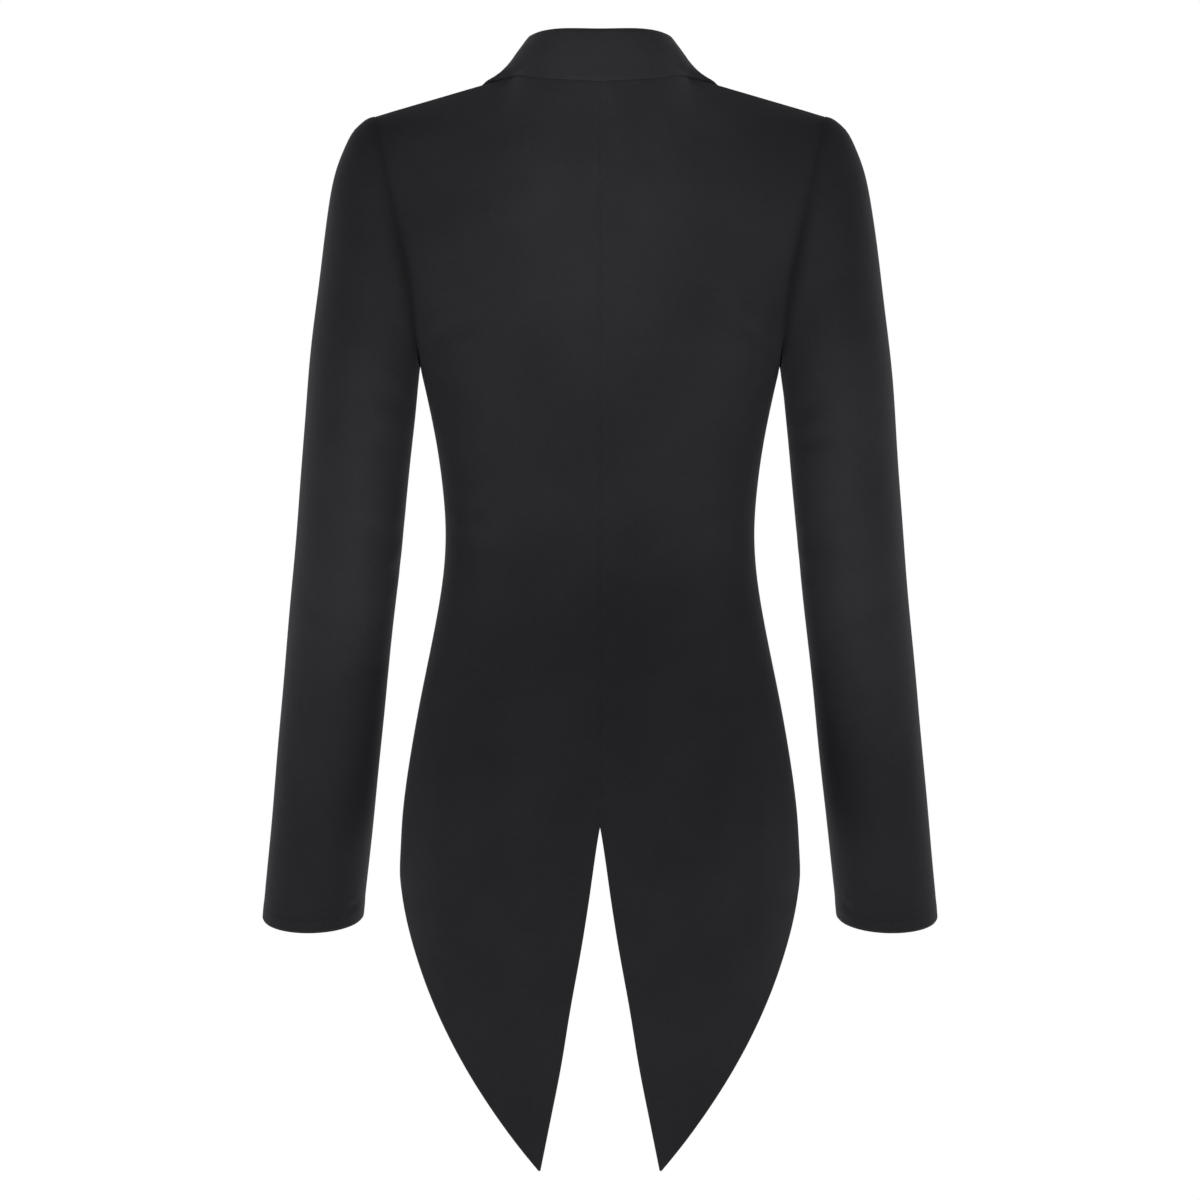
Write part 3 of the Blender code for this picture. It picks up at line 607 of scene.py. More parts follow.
def grid_normals(grid, closed=False):
    """Unit normals at the points of a grid, out of the cloth, from the faces around each."""
    after = np.roll(grid, -1, axis=1) if closed else grid[:, 1:]
    here = grid if closed else grid[:, :-1]
    faces = np.cross(here[1:] - after[:-1], after[1:] - here[:-1])
    width = faces.shape[1]
    sums = np.zeros_like(grid)
    sums[:-1, :width] += faces
    sums[1:, :width] += faces
    if closed:
        sums[:-1] += np.roll(faces, 1, axis=1)
        sums[1:] += np.roll(faces, 1, axis=1)
    else:
        sums[:-1, 1:] += faces
        sums[1:, 1:] += faces
    return unit(sums)


def level(normals, axis):
    """The normals with one axis taken out, so that the edge's face stands square to a seam."""
    flat = normals.copy()
    flat[..., axis] = 0.0
    return unit(flat)


def mitre(own, other):
    """Directions in which two walls end alike at a seam, or each square where they fold back."""
    along = (own * other).sum(axis=-1, keepdims=True)
    return unit(own + other * smooth_steps(MITRE_FOLD, 0.0, along))


def coarse_panels():
    """Grids and edge-fitted normals of the left back, left front and left sleeve."""
    back = back_grid()
    front = front_grid()
    sleeve = sleeve_grid()
    back_normals = grid_normals(back)
    front_normals = grid_normals(front)
    sleeve_normals = grid_normals(sleeve, True)

    scye = slice(-1 - AROUND_HALF, None)
    at_back = np.arange(AROUND_HALF, -1, -1)
    at_front = np.arange(AROUND_HALF, 2 * AROUND_HALF + 1) % (2 * AROUND_HALF)
    panel_back = back_normals[scye, -1].copy()
    panel_front = front_normals[scye, 0].copy()
    ring_back = sleeve_normals[0, at_back]
    ring_front = sleeve_normals[0, at_front]
    for i in (0, AROUND_HALF):
        panel_back[i] = panel_front[i] = unit(panel_back[i] + panel_front[i])
    back_normals[scye, -1] = mitre(panel_back, ring_back)
    front_normals[scye, 0] = mitre(panel_front, ring_front)
    sleeve_normals[0, at_back] = mitre(ring_back, panel_back)
    sleeve_normals[0, at_front] = mitre(ring_front, panel_front)

    centre = back[:, 0, 2] > VENT_TOP - SAME_HEIGHT
    side = back[:, -1, 2] > SIDE_HEM - SAME_HEIGHT
    side[len(back) - AROUND_HALF:] = False
    front_side = slice(0, len(front) - AROUND_HALF)
    for grid, normals, place, axis, gap in (
        (back, back_normals, (centre, 0), 0, SEAM_GAP),
        (back, back_normals, (side, -1), 1, SEAM_GAP),
        (back, back_normals, (-1, slice(NECK_COLUMNS, None)), 1, SEAM_GAP),
        (front, front_normals, (front_side, 0), 1, -SEAM_GAP),
        (front, front_normals, (-1, slice(None)), 1, -SEAM_GAP),
    ):
        normals[place] = level(normals[place], axis)
        grid[(*place, axis)] += gap / 2
    return {
        "back": (back, back_normals),
        "front": (front, front_normals),
        "sleeve": (sleeve, sleeve_normals),
    }


def lapped(grid, normals):
    """The right front's grid, seen as a left one, lifted over the other front near the centre."""
    lift = LAP_LIFT * (1.0 - smooth_steps(LAP_FULL_X, LAP_ENDS_X, grid[..., 0]))
    return grid + normals * lift[..., None]


def surface_tree(grids):
    """A searchable surface made of the faces of several grids."""
    points = []
    faces = []
    for grid in grids:
        quads = grid_quads(*grid.shape[:2], False)[1]
        faces += (quads[:, ::-1] + len(points)).tolist()
        points += grid.reshape(-1, 3).tolist()
    return BVHTree.FromPolygons(points, faces)


def widened(grid):
    """A front's grid with one more column past its front edge."""
    onward = unit(grid[:, -1:] - grid[:, -2:-1]) * 2 * FRONT_LAP
    return np.concatenate([grid, grid[:, -1:] + onward], axis=1)


def on_front(tree, x, z, lift):
    """Point over the front at a place of the front view, and the way out from the cloth."""
    point, normal = tree.ray_cast((x, -1.0, z), (0.0, 1.0, 0.0))[:2]
    return np.array(point + normal * lift), np.array(normal)


def collar_row(station, draw, tree):
    """One section of the collar's middle surface, from the neck seam over the fold to the edge."""
    base, fold, middle, edge = station[:12].reshape(4, 3)
    roll = station[12]
    outward = unit((middle - fold) * (1.0, 1.0, 0.0))
    up = np.array((0.0, 0.0, 1.0))
    foot = base - outward * (WALL / 2) + up * COLLAR_SEAT
    inner_top = fold - outward * roll - up * roll
    outer_top = fold + outward * roll - up * roll
    rows = [foot, inner_top, fold, outer_top, middle, edge]
    table = [(i, *point) for i, point in enumerate(rows)]
    points = np.array([lookup(table, place) for place in COLLAR_PLACES])
    clearance = WALL / 2 + COLLAR_CLEARANCE
    span = len(points) - 1 - LEAF_START
    for k in range(LEAF_START, len(points)):
        near, normal = (np.array(found) for found in tree.find_nearest(points[k])[:2])
        away = points[k] - near
        outside = away @ normal > 0
        close = np.linalg.norm(away) < clearance or not outside
        target = near + (unit(away) if outside else normal) * clearance
        points[k] = blend(points[k], target, 1.0 if close else draw * ((k - LEAF_START) / span) ** 2)
    return points


def coarse_collar(tree):
    """Points of stand and fall, folded over at the top, from gorge to gorge."""
    rows = [
        (i, *base, *fold, *middle, *edge, roll)
        for i, (base, fold, middle, edge, roll) in enumerate(COLLAR)
    ]
    half = []
    for i in range((len(COLLAR) - 1) * COLLAR_STEPS + 1):
        draw = lookup(LEAF_DRAW, i / COLLAR_STEPS)[0]
        half.append(collar_row(lookup(rows, i / COLLAR_STEPS), draw, tree))
    half = np.array(half)
    half[0, :, 0] = 0.0
    return np.concatenate([half[:0:-1] * (-1.0, 1.0, 1.0), half])


# --- finer grids ------------------------------------------


def spline_weights(knots, places):
    """Weights that turn values at the knots into values of their cubic spline at the places."""
    count = len(knots)
    h = np.diff(knots)
    left = np.zeros((count, count))
    right = np.zeros((count, count))
    for i in range(1, count - 1):
        left[i, i - 1:i + 2] = h[i - 1], 2 * (h[i - 1] + h[i]), h[i]
        right[i, i - 1:i + 2] = 6 / h[i - 1], -6 / h[i - 1] - 6 / h[i], 6 / h[i]
    left[0, :3] = h[1], -(h[0] + h[1]), h[0]
    left[-1, -3:] = h[-1], -(h[-2] + h[-1]), h[-2]
    bends = np.linalg.solve(left, right)
    at = np.clip(np.searchsorted(knots, places, side="right") - 1, 0, count - 2)
    weights = np.zeros((len(places), count))
    for row, (k, place) in enumerate(zip(at, places)):
        a = (knots[k + 1] - place) / h[k]
        b = 1 - a
        weights[row, k] += a
        weights[row, k + 1] += b
        weights[row] += ((a**3 - a) * bends[k] + (b**3 - b) * bends[k + 1]) * h[k] ** 2 / 6
    return weights


def linear_weights(knots, places):
    """Weights of the straight lines between the knots."""
    return np.array([np.interp(places, knots, row) for row in np.eye(len(knots))]).T


def broken_weights(knots, places, breaks):
    """Spline weights for a line that has corners at some of its knots."""
    weights = np.zeros((len(places), len(knots)))
    ends = [0] + list(breaks) + [len(knots) - 1]
    for low, high in zip(ends, ends[1:]):
        inside = (places >= knots[low] - 1e-9) & (places <= knots[high] + 1e-9)
        weights[inside] = 0.0
        weights[inside, low:high + 1] = spline_weights(knots[low:high + 1], places[inside])
    return weights


def resampled(row_weights, grid, column_weights):
    """The grid at other rows and columns, by the weights of each."""
    return np.einsum("ri,ijk,cj->rck", row_weights, grid, column_weights, optimize=True)


def fine_places(knots, spacing, near_start=EDGE_LINES):
    """All the knots, evenly filled in between, with extra places near the two ends."""
    places = []
    for low, high in zip(knots, knots[1:]):
        count = max(1, int(round((high - low) / spacing)))
        places += [low + (high - low) * k / count for k in range(count)]
    places.append(knots[-1])
    extra = [knots[0] + d for d in near_start] + [knots[-1] - d for d in EDGE_LINES]
    kept = [p for p in places if min(abs(p - e) for e in extra) > CLOSEST_LINES]
    return np.array(sorted(set(kept + extra + [knots[0], knots[-1]])))


def chord_knots(grid, axis):
    """Mean distance along the rows or columns of a grid, from its start."""
    gaps = np.linalg.norm(np.diff(grid, axis=axis), axis=2).mean(axis=1 - axis)
    return np.concatenate([[0.0], np.cumsum(gaps)])


def arc(grid, axis, backwards=False):
    """Distance along each row or column of a grid, from its start or its end."""
    lengths = np.cumsum(np.linalg.norm(np.diff(grid, axis=axis), axis=2), axis=axis)
    lengths = np.insert(lengths, 0, 0.0, axis=axis)
    return np.take(lengths, [-1], axis=axis) - lengths if backwards else lengths


def edge_arcs(grid):
    """Distances to the first and last column and to the first and last row."""
    return arc(grid, 1), arc(grid, 1, True), arc(grid, 0), arc(grid, 0, True)


def edge_fitted(own, fine, nearest):
    """The part's own normals at the edges, and the finer grid's further in."""
    share = hump(nearest, 0.0, OWN_NORMALS_REACH)[..., None]
    return unit(blend(fine, own, share))


def fine_panel(coarse, coarse_normals, corners_first, corners_last, at_centre, neck_corner):
    """Fine grid and normals of one left panel, and the distances to its four edges.

    The first and last column have corners at the given rows, and the top edge at the neck
    corner's column. A panel at the centre goes on smoothly in its mirror image.
    """
    row_knots = chord_knots(coarse, 0)
    column_knots = chord_knots(coarse, 1)
    row_places = fine_places(row_knots, ROW_SPACING)
    column_places = fine_places(column_knots, COLUMN_SPACING)
    lines = np.einsum("ri,ijk->rjk", spline_weights(row_knots, row_places), coarse)
    sides = lines.copy()
    for column, corners in ((0, corners_first), (-1, corners_last)):
        sides[:, column] = broken_weights(row_knots, row_places, corners) @ coarse[:, column]
    knots = column_knots
    if at_centre:
        ghosts = sides[:, 2:0:-1].copy()
        ghosts[:, :, 0] = 2 * sides[:, :1, 0] - ghosts[:, :, 0]
        sides = np.concatenate([ghosts, sides], axis=1)
        knots = np.concatenate([-column_knots[2:0:-1], column_knots])
    grid = np.einsum("cj,rjk->rck", spline_weights(knots, column_places), sides)
    if neck_corner:
        weights = broken_weights(column_knots, column_places, [neck_corner])
        sharp = np.einsum("cj,rjk->rck", weights, lines)
        away = abs(column_places - column_knots[neck_corner]) / NECK_CORNER_REACH
        share = smooth_steps(row_knots[-2], row_knots[-1], row_places)[:, None, None]
        share = share * smooth_steps(0.0, 0.6, np.clip(1.0 - away, 0, 1))[None, :, None]
        grid = blend(grid, sharp, share)
    own = unit(resampled(
        linear_weights(row_knots, row_places), coarse_normals,
        linear_weights(column_knots, column_places),
    ))
    edges = edge_arcs(grid)
    return grid, edge_fitted(own, grid_normals(grid), np.minimum.reduce(edges)), edges


# --- relief on the cloth ----------------------------------


def relief(line, distance):
    """Height of a relief line, at distances from its seam or edge."""
    height, place, width = line
    return height * hump(distance, place, width)


def crease_relief(grid, path, half_width, depth):
    """How far a crease moves each point of a grid along its normal."""
    flat = grid.reshape(-1, 3)
    path = np.array([flat[np.argmin(((flat - p) ** 2).sum(1))] for p in path])
    best = np.full(len(flat), np.inf)
    along = np.zeros(len(flat))
    lengths = np.linalg.norm(np.diff(path, axis=0), axis=1)
    starts = np.concatenate([[0.0], np.cumsum(lengths)])
    for k in range(len(path) - 1):
        run = path[k + 1] - path[k]
        t = np.clip(((flat - path[k]) @ run) / max(run @ run, 1e-12), 0.0, 1.0)
        away = np.linalg.norm(flat - path[k] - t[:, None] * run, axis=1)
        nearer = away < best
        best[nearer] = away[nearer]
        along[nearer] = starts[k] + t[nearer] * lengths[k]
    share = along / starts[-1]
    fade = np.sin(math.pi * np.clip(share, 0.02, 0.98)) ** 0.7
    width = half_width * (0.75 + 0.5 * share)
    trough = hump(best, 0.0, width) - 0.45 * hump(best, 1.7 * width, 0.8 * width)
    return (-depth * fade * trough).reshape(grid.shape[:2])


def creases_on(kind, side, grid):
    """All the creases of a piece. The right side's are moved, and of another depth."""
    move = 0.0
    for *path, half_width, depth, (shift_x, shift_z, share) in CREASES[kind]:
        if side < 0:
            path = np.array(path) + (shift_x, 0.0, shift_z)
            half_width = half_width * (1.6 - 0.6 * share)
            depth = depth * share
        move = move + crease_relief(grid, np.array(path) / 1000, half_width / 1000, depth / 1000)
    return move


def unevenness(kind, side, grid):
    """Slow, shallow waves, as pressed cloth has over a filled form."""
    size, phase_left, phase_right = UNEVENNESS[kind]
    phase = phase_left if side > 0 else phase_right
    x, y, z = grid[..., 0], grid[..., 1], grid[..., 2]
    waves = np.sin(31.0 * x + 17.0 * z + phase)
    waves = waves + 0.8 * np.sin(23.0 * z - 37.0 * x + 9.0 * y + 2.1 * phase)
    waves = waves + 0.5 * np.sin(61.0 * z + 29.0 * x + 0.7 * phase)
    return size * waves / 2.3


def calm(*distances):
    """0 at the given edges and 1 further in, so that neighbours stay together at their seams."""
    return math.prod(smooth_steps(0.0, CALM_REACH, distance) for distance in distances)


def armhole_shades(z):
    """How low a place at the armhole is, the share of its deeper hollow, and of the shade painted along
    its seam.
    """
    low = smooth_steps(*ARMHOLE_LOW, z)
    return low, low * (1 - smooth_steps(*HOLLOW_ENDS, z)), 0.25 + 0.75 * low


def edge_rounding(distance, depth=ROUNDING_DEPTH, reach=ROUNDING_REACH):
    """How far the cloth's two faces draw together at a free edge."""
    return depth * hump(distance, 0.0, reach)


def wall_faces(grid, normals, free_edge):
    """The two faces of a wall whose outer one is the grid, rounded at its free edge."""
    pull = edge_rounding(free_edge)[..., None]
    return grid - normals * pull, grid - normals * (WALL - pull)


# --- the pieces -------------------------------------------


def back_piece(side):
    """A back with its tail: its seams' relief, soft creases and free edges."""
    side_end = TAIL_ROWS + VENT_ROWS + BODICE_ROWS
    grid, normals, (first, last, bottom, top) = fine_panel(
        *COARSE["back"], [TAIL_ROWS + VENT_ROWS], [TAIL_ROWS, side_end], True, NECK_COLUMNS
    )
    z = grid[..., 2]
    side_z = z[:, -1:]
    _, bent, dark = armhole_shades(z)
    seam_here = smooth_steps(*SEAM_COMES, z)
    armhole_here = smooth_steps(*ARMHOLE_COMES, side_z)
    side_here = smooth_steps(*SIDE_COMES, side_z) - armhole_here
    seam_loss = UPPER_GROOVE_LOSS * smooth_steps(*SEAM_WEAKENS, z)
    armhole_loss = UPPER_GROOVE_LOSS * smooth_steps(*SHOULDER_FADES, z)
    pressed = smooth_steps(*PRESSED_COMES, z) * smooth_steps(*PRESSED_GOES, z)
    waves = unevenness("back", side, grid) + creases_on("back", side, grid)
    move = sum((
        waves * calm(first, last, top),
        seam_here * (1 - seam_loss) * relief(SEAM_GROOVE, first),
        seam_here * relief(SEAM_SWELL, first),
        armhole_here * (1 - armhole_loss) * relief(ARMHOLE_GROOVE, last),
        armhole_here * (1 + HOLLOW_GAIN * bent) * relief(ARMHOLE_HOLLOW, last),
        side_here * relief(SIDE_GROOVE, last),
        relief(TOP_GROOVE, top),
        pressed * relief(PRESSED_LEFT if side > 0 else PRESSED_RIGHT, first),
        (1 - seam_here) * relief(VENT_SWELL, first),
    ))
    vent_edge = np.where(z < VENT_TOP - FREE_BELOW, first, 1.0)
    tail_edge = np.where(side_z < SIDE_HEM - FREE_BELOW, last, 1.0)
    free_edge = np.minimum.reduce([vent_edge, tail_edge, bottom])
    # Painted shade along the armhole seam
    shade = armhole_here * dark * hump(last, 0.0, PANEL_PAINTED_SHADE_WIDTH)
    faces = wall_faces(grid + normals * move[..., None], normals, free_edge)
    return *faces, {"edge": free_edge, "shade": shade}


def front_piece(side):
    """A front. The right one lies over the left one at the lap."""
    coarse, coarse_normals = COARSE["front"]
    if side < 0:
        coarse = OVER
    grid, normals, (first, last, bottom, top) = fine_panel(
        coarse, coarse_normals, [FRONT_ROWS], [], False, 0
    )
    _, bent, dark = armhole_shades(grid[..., 2])
    armhole_here = smooth_steps(*ARMHOLE_COMES, grid[:, :1, 2])
    move = sum((
        unevenness("front", side, grid) * calm(first, top),
        creases_on("front", side, grid) * calm(first, top, last),
        armhole_here * relief(ARMHOLE_GROOVE, first),
        armhole_here * (1 + HOLLOW_GAIN * bent) * relief(ARMHOLE_HOLLOW, first),
        (1 - armhole_here) * relief(SIDE_GROOVE, first),
        relief(TOP_GROOVE, top),
    ))
    move = move * (1 - smooth_steps(*LAP_FLATTENS, grid[..., 0]))
    free_edge = np.minimum(bottom, last)
    # Painted shade along the armhole seam
    shade = armhole_here * dark * hump(first, 0.0, PANEL_PAINTED_SHADE_WIDTH)
    faces = wall_faces(grid + normals * move[..., None], normals, free_edge)
    return *faces, {"edge": free_edge, "shade": shade}


def sleeve_piece(side):
    """A sleeve: its eased head, its creases and the turned-up cuff."""
    coarse, coarse_normals = COARSE["sleeve"]
    row_knots = chord_knots(coarse, 0)
    row_places = fine_places(row_knots, ROW_SPACING)
    around = coarse.shape[1]
    places = np.arange(around * RING_REFINEMENT) / RING_REFINEMENT
    knots = np.arange(-RING_WRAP, around + RING_WRAP + 1)
    rows = spline_weights(row_knots, row_places)
    grid = resampled(rows, coarse[:, knots % around], spline_weights(knots, places))
    rows = linear_weights(row_knots, row_places)
    own = unit(resampled(rows, coarse_normals[:, knots % around], linear_weights(knots, places)))
    head = arc(grid, 0)
    cuff = arc(grid, 0, True)
    normals = edge_fitted(own, grid_normals(grid, True), np.minimum(head, cuff))
    z = grid[..., 2]
    low, bent, dark = armhole_shades(z)
    over = 0.5 + 0.5 * np.cos(2 * math.pi * places / around)
    waves = unevenness("sleeve", side, grid) + creases_on("sleeve", side, grid)
    armhole_loss = UPPER_GROOVE_LOSS * smooth_steps(*SHOULDER_FADES, z)
    move = sum((
        waves * calm(head, cuff),
        (1 - armhole_loss) * relief(ARMHOLE_GROOVE, head),
        (1 + HEAD_GAIN * over) * (1 - low) * relief(SLEEVE_HEAD, head),
        bent * relief(SLEEVE_HOLLOW, head),
        CUFF_SWELL * smooth_steps(*CUFF_COMES, cuff) * smooth_steps(*CUFF_GOES, cuff),
    ))
    faces = wall_faces(grid + normals * move[..., None], normals, cuff)
    # Painted shade along the armhole seam, in the returned marks
    return *faces, {"edge": cuff, "shade": dark * hump(head, 0.0, SLEEVE_PAINTED_SHADE_WIDTH)}


def collar_piece(coarse):
    """The collar: round at its fold, and tight towards the leaf's edge on the shoulders."""
    row_knots = chord_knots(coarse, 0)
    column_knots = chord_knots(coarse, 1)
    row_places = fine_places(row_knots, COLLAR_ROW_SPACING)
    column_places = fine_places(column_knots, COLLAR_COLUMN_SPACING, COLLAR_SEAM_LINES)
    across = spline_weights(column_knots, column_places)
    round_form = resampled(spline_weights(row_knots, row_places), coarse, across)
    tight_form = resampled(pulled_weights(row_knots, row_places, LEAF_PULL), coarse, across)
    shares = column_places / column_knots[-1]
    tight = smooth_steps(LEAF_TIGHT_FROM, LEAF_TIGHT_TO, shares)[None, :, None]
    grid = blend(round_form, tight_form, tight)
    normals = grid_normals(grid)
    leaf_edge = arc(grid, 1, True)
    ends = np.minimum(arc(grid, 0), arc(grid, 0, True))
    pull = edge_rounding(ends)[..., None]
    pressed = edge_rounding(leaf_edge, LEAF_PRESS_DEPTH, LEAF_PRESS_REACH)[..., None]
    outer = grid + normals * (WALL / 2 - pull - pressed * (1 - pull / ROUNDING_DEPTH))
    inner = grid - normals * (WALL / 2 - pull)
    return outer, inner, {"edge": np.minimum(leaf_edge, ends)}


def lapel_roll_x(height, under):
    """Roll line of a lapel. The lower front's lapel also ends at the upper front's edge."""
    own = roll_line_x(height)
    return max(own, LAYER_GAP + WALL - own) if under else own


def lapel_piece(tree, under):
    """A lapel lying on its front, rolled softly at its inner edge."""
    foot_x = lapel_roll_x(BREAK_Z, under) + LAPEL_END_WIDTH
    foot = np.array((foot_x, 0.0, BREAK_Z + LAPEL_END_RISE))
    grid = np.zeros((LAPEL_ROWS + 1, LAPEL_COLUMNS + 1, 3))
    out = np.zeros_like(grid)
    for i in range(LAPEL_ROWS + 1):
        r = i / LAPEL_ROWS
        height = blend(foot[2], GORGE[2] - LAPEL_GORGE_GAP, r)
        start = np.array((lapel_roll_x(height, under) + LAPEL_ROLL_GAP, 0.0, height))
        end = blend(foot, LAPEL_POINT, r)
        end[0] += LAPEL_BELLY * math.sin(math.pi * r)
        for j in range(LAPEL_COLUMNS + 1):
            c = j / LAPEL_COLUMNS
            x, _, z = blend(start, end, c)
            roll = LAPEL_ROLL_LIFT * math.sin(math.pi * c**0.5) * r**0.5
            grid[i, j], out[i, j] = on_front(tree, x, z, LAPEL_LIFT + roll)
    for _ in range(LAPEL_SMOOTHING):
        around = out[:-2, 1:-1] + out[2:, 1:-1] + out[1:-1, :-2] + out[1:-1, 2:]
        out[1:-1, 1:-1] = around / 4
    out = unit(out)
    edge = np.minimum.reduce(edge_arcs(grid))
    return *wall_faces(grid + out * WALL, out, edge), {"edge": edge}


# --- objects ----------------------------------------------


def add_object(name, data):
    thing = bpy.data.objects.new(name, data)
    bpy.context.scene.collection.objects.link(thing)
    return thing


def mesh_from(edit, name):
    """A mesh made from an edit mesh, with its faces turned outwards."""
    bmesh.ops.recalc_face_normals(edit, faces=edit.faces[:])
    mesh = bpy.data.meshes.new(name)
    edit.to_mesh(mesh)
    edit.free()
    return mesh


def add_weave_map(mesh, outer, closed):
    """A map of the cloth in metres: distances across and along the outer face."""
    columns = outer.shape[1]
    ring = np.concatenate([outer, outer[:, :1]], axis=1) if closed else outer
    across = arc(ring, 1)
    corner = np.empty(len(mesh.loops), dtype=np.int32)
    mesh.loops.foreach_get("vertex_index", corner)
    corner = corner % (outer.size // 3)
    u = across[:, :columns].ravel()[corner].reshape(-1, 4)
    if closed:
        full = across[:, -1][corner // columns].reshape(-1, 4)
        u = np.where(u.max(axis=1, keepdims=True) - u > full / 2, u + full, u)
    flat = np.stack([u.ravel(), arc(outer, 0).ravel()[corner]], axis=1)
    mesh.uv_layers.new(name="weave").data.foreach_set("uv", flat.astype(np.float32).ravel())


def add_cloth(name, piece, closed, material, side):
    """A closed wall between two fine grids, with its marks for the stitching, wear and painted shade."""
    outer, inner, marks = piece
    index, quads = grid_quads(*outer.shape[:2], closed)
    count = index.size
    lines = [index[0], index[-1]] if closed else [index[0], index[-1], index[:, 0], index[:, -1]]
    faces = [quads, quads[:, ::-1] + count]
    for line in lines:
        start = line if closed else line[:-1]
        end = np.roll(line, -1) if closed else line[1:]
        faces.append(np.stack([start, end, end + count, start + count], axis=-1))
    points = np.concatenate([outer.reshape(-1, 3), inner.reshape(-1, 3)]) * (side, 1.0, 1.0)
    edit = bmesh.new()
    mesh = bpy.data.meshes.new(name)
    mesh.from_pydata(points.tolist(), [], np.concatenate(faces).tolist())
    edit.from_mesh(mesh)
    bmesh.ops.recalc_face_normals(edit, faces=edit.faces[:])
    edit.to_mesh(mesh)
    edit.free()
    mesh.shade_smooth()
    mesh.set_sharp_from_angle(angle=math.radians(50))
    add_weave_map(mesh, outer, closed)
    values = {mark: np.concatenate([value.ravel()] * 2) for mark, value in marks.items()}
    values["inside"] = np.repeat((0.0, 1.0), count)
    for mark, value in values.items():
        layer = mesh.attributes.new(mark, "FLOAT", "POINT")
        layer.data.foreach_set("value", value.astype(np.float32))
    mesh.materials.append(material)
    return add_object(name, mesh)


# --- materials --------------------------------------------


class Nodes:
    """Short calls for building a node tree."""

    def __init__(self, tree):
        self.tree = tree
        self.tree.nodes.clear()

    def add(self, kind, **settings):
        node = self.tree.nodes.new(kind)
        for key, value in settings.items():
            setattr(node, key, value)
        return node

    def put(self, socket, value):
        if isinstance(value, bpy.types.NodeSocket):
            self.tree.links.new(value, socket)
        else:
            socket.default_value = value

    def fill(self, node, **values):
        """Sets or links inputs by their names, with _ for a blank."""
        for key, value in values.items():
            self.put(node.inputs[key.replace("_", " ")], value)
        return node.outputs[0]

    def math(self, operation, a, b=0.0, c=0.0):
        node = self.add("ShaderNodeMath", operation=operation)
        for socket, value in zip(node.inputs, (a, b, c)):
            self.put(socket, value)
        return node.outputs[0]

    def attribute(self, name):
        return self.add("ShaderNodeAttribute", attribute_name=name).outputs["Fac"]

    def place(self):
        return self.add("ShaderNodeTexCoord").outputs["Object"]

    def noise(self, vector, scale, detail=2.0):
        return self.fill(self.add("ShaderNodeTexNoise"), Vector=vector, Scale=scale, Detail=detail)

    def spread(self, value, low, high, to_low, to_high):
        node = self.add("ShaderNodeMapRange", interpolation_type="SMOOTHSTEP")
        return self.fill(
            node, Value=value, From_Min=low, From_Max=high, To_Min=to_low, To_Max=to_high
        )

    def parts(self, vector):
        node = self.add("ShaderNodeSeparateXYZ")
        self.put(node.inputs[0], vector)
        return node.outputs

    def mix(self, share, a, b):
        node = self.add("ShaderNodeMix", data_type="RGBA")
        for i, value in ((0, share), (6, a), (7, b)):
            self.put(node.inputs[i], value)
        return node.outputs[2]

    def bump(self, height, strength, distance):
        node = self.add("ShaderNodeBump")
        return self.fill(node, Height=height, Strength=strength, Distance=distance)

    def surface(self, **values):
        """The principled shader with these inputs, on the material's output."""
        output = self.add("ShaderNodeOutputMaterial")
        shader = self.fill(self.add("ShaderNodeBsdfPrincipled"), **values)
        self.put(output.inputs["Surface"], shader)


def node_material(name):
    material = bpy.data.materials.new(name)
    material.use_nodes = True
    return material, Nodes(material.node_tree)


def suiting(name, hem_line=False):
    """Smooth matt suiting: a fine twill, a little nap, worn edges, painted shade along the armhole seams
    and a lining inside.
    """
    material, n = node_material(name)
    place = n.place()
    u, v, _ = n.parts(n.add("ShaderNodeUVMap", uv_map="weave").outputs[0])
    slant = n.math("ADD", n.math("MULTIPLY", u, TWILL_ACROSS), n.math("MULTIPLY", v, TWILL_UP))
    rib = n.math("MULTIPLY_ADD", n.math("SINE", slant), 0.5, 0.5)
    yarn = n.noise(place, 900.0, 1.0)
    cloud = n.noise(place, 14.0, 3.0)
    fleck = n.noise(place, 260.0, 2.0)
    tone = n.math("ADD", n.math("MULTIPLY", cloud, 0.55), n.math("MULTIPLY", rib, 0.25))
    tone = n.math("ADD", tone, n.math("MULTIPLY", fleck, 0.2))
    colour = n.mix(n.spread(tone, 0.25, 0.75, 0.0, 1.0), CLOTH_DARK, CLOTH_LIGHT)
    worn = n.spread(n.attribute("edge"), 0.0, 0.0025, 0.25, 0.0)
    colour = n.mix(worn, colour, CLOTH_WORN)
    # Painted shade: the cloth is darkened along the armhole seams, most near the underarm
    colour = n.mix(n.math("MULTIPLY", n.attribute("shade"), 0.7), colour, CLOTH_PAINTED_SHADE_AND_STITCH)
    height = n.math("MULTIPLY_ADD", rib, 0.00004, n.math("MULTIPLY", yarn, 0.00004))
    if hem_line:
        near = n.math("ABSOLUTE", n.math("SUBTRACT", n.attribute("edge"), HEM_STITCH_AT))
        line = n.spread(near, 0.0003, 0.0011, 1.0, 0.0)
        beat = n.math("SINE", n.math("MULTIPLY", u, 2 * math.pi / HEM_STITCH_LENGTH))
        stitch = n.math("MULTIPLY", line, n.spread(beat, -0.6, 0.2, 0.1, 0.3))
        colour = n.mix(stitch, colour, CLOTH_PAINTED_SHADE_AND_STITCH)
        height = n.math("SUBTRACT", height, n.math("MULTIPLY", stitch, 0.0002))
    inside = n.attribute("inside")
    rough = n.math("MULTIPLY_ADD", cloud, 0.14, CLOTH_ROUGH)
    n.surface(
        Base_Color=n.mix(inside, colour, LINING),
        Roughness=n.math("SUBTRACT", rough, n.math("MULTIPLY", inside, 0.3)),
        Specular_IOR_Level=CLOTH_SPECULAR,
        Sheen_Weight=CLOTH_SHEEN,
        Sheen_Roughness=0.5,
        Sheen_Tint=(0.86, 0.88, 1.0, 1.0),
        Normal=n.bump(height, 0.6, 1.0),
    )
    return material


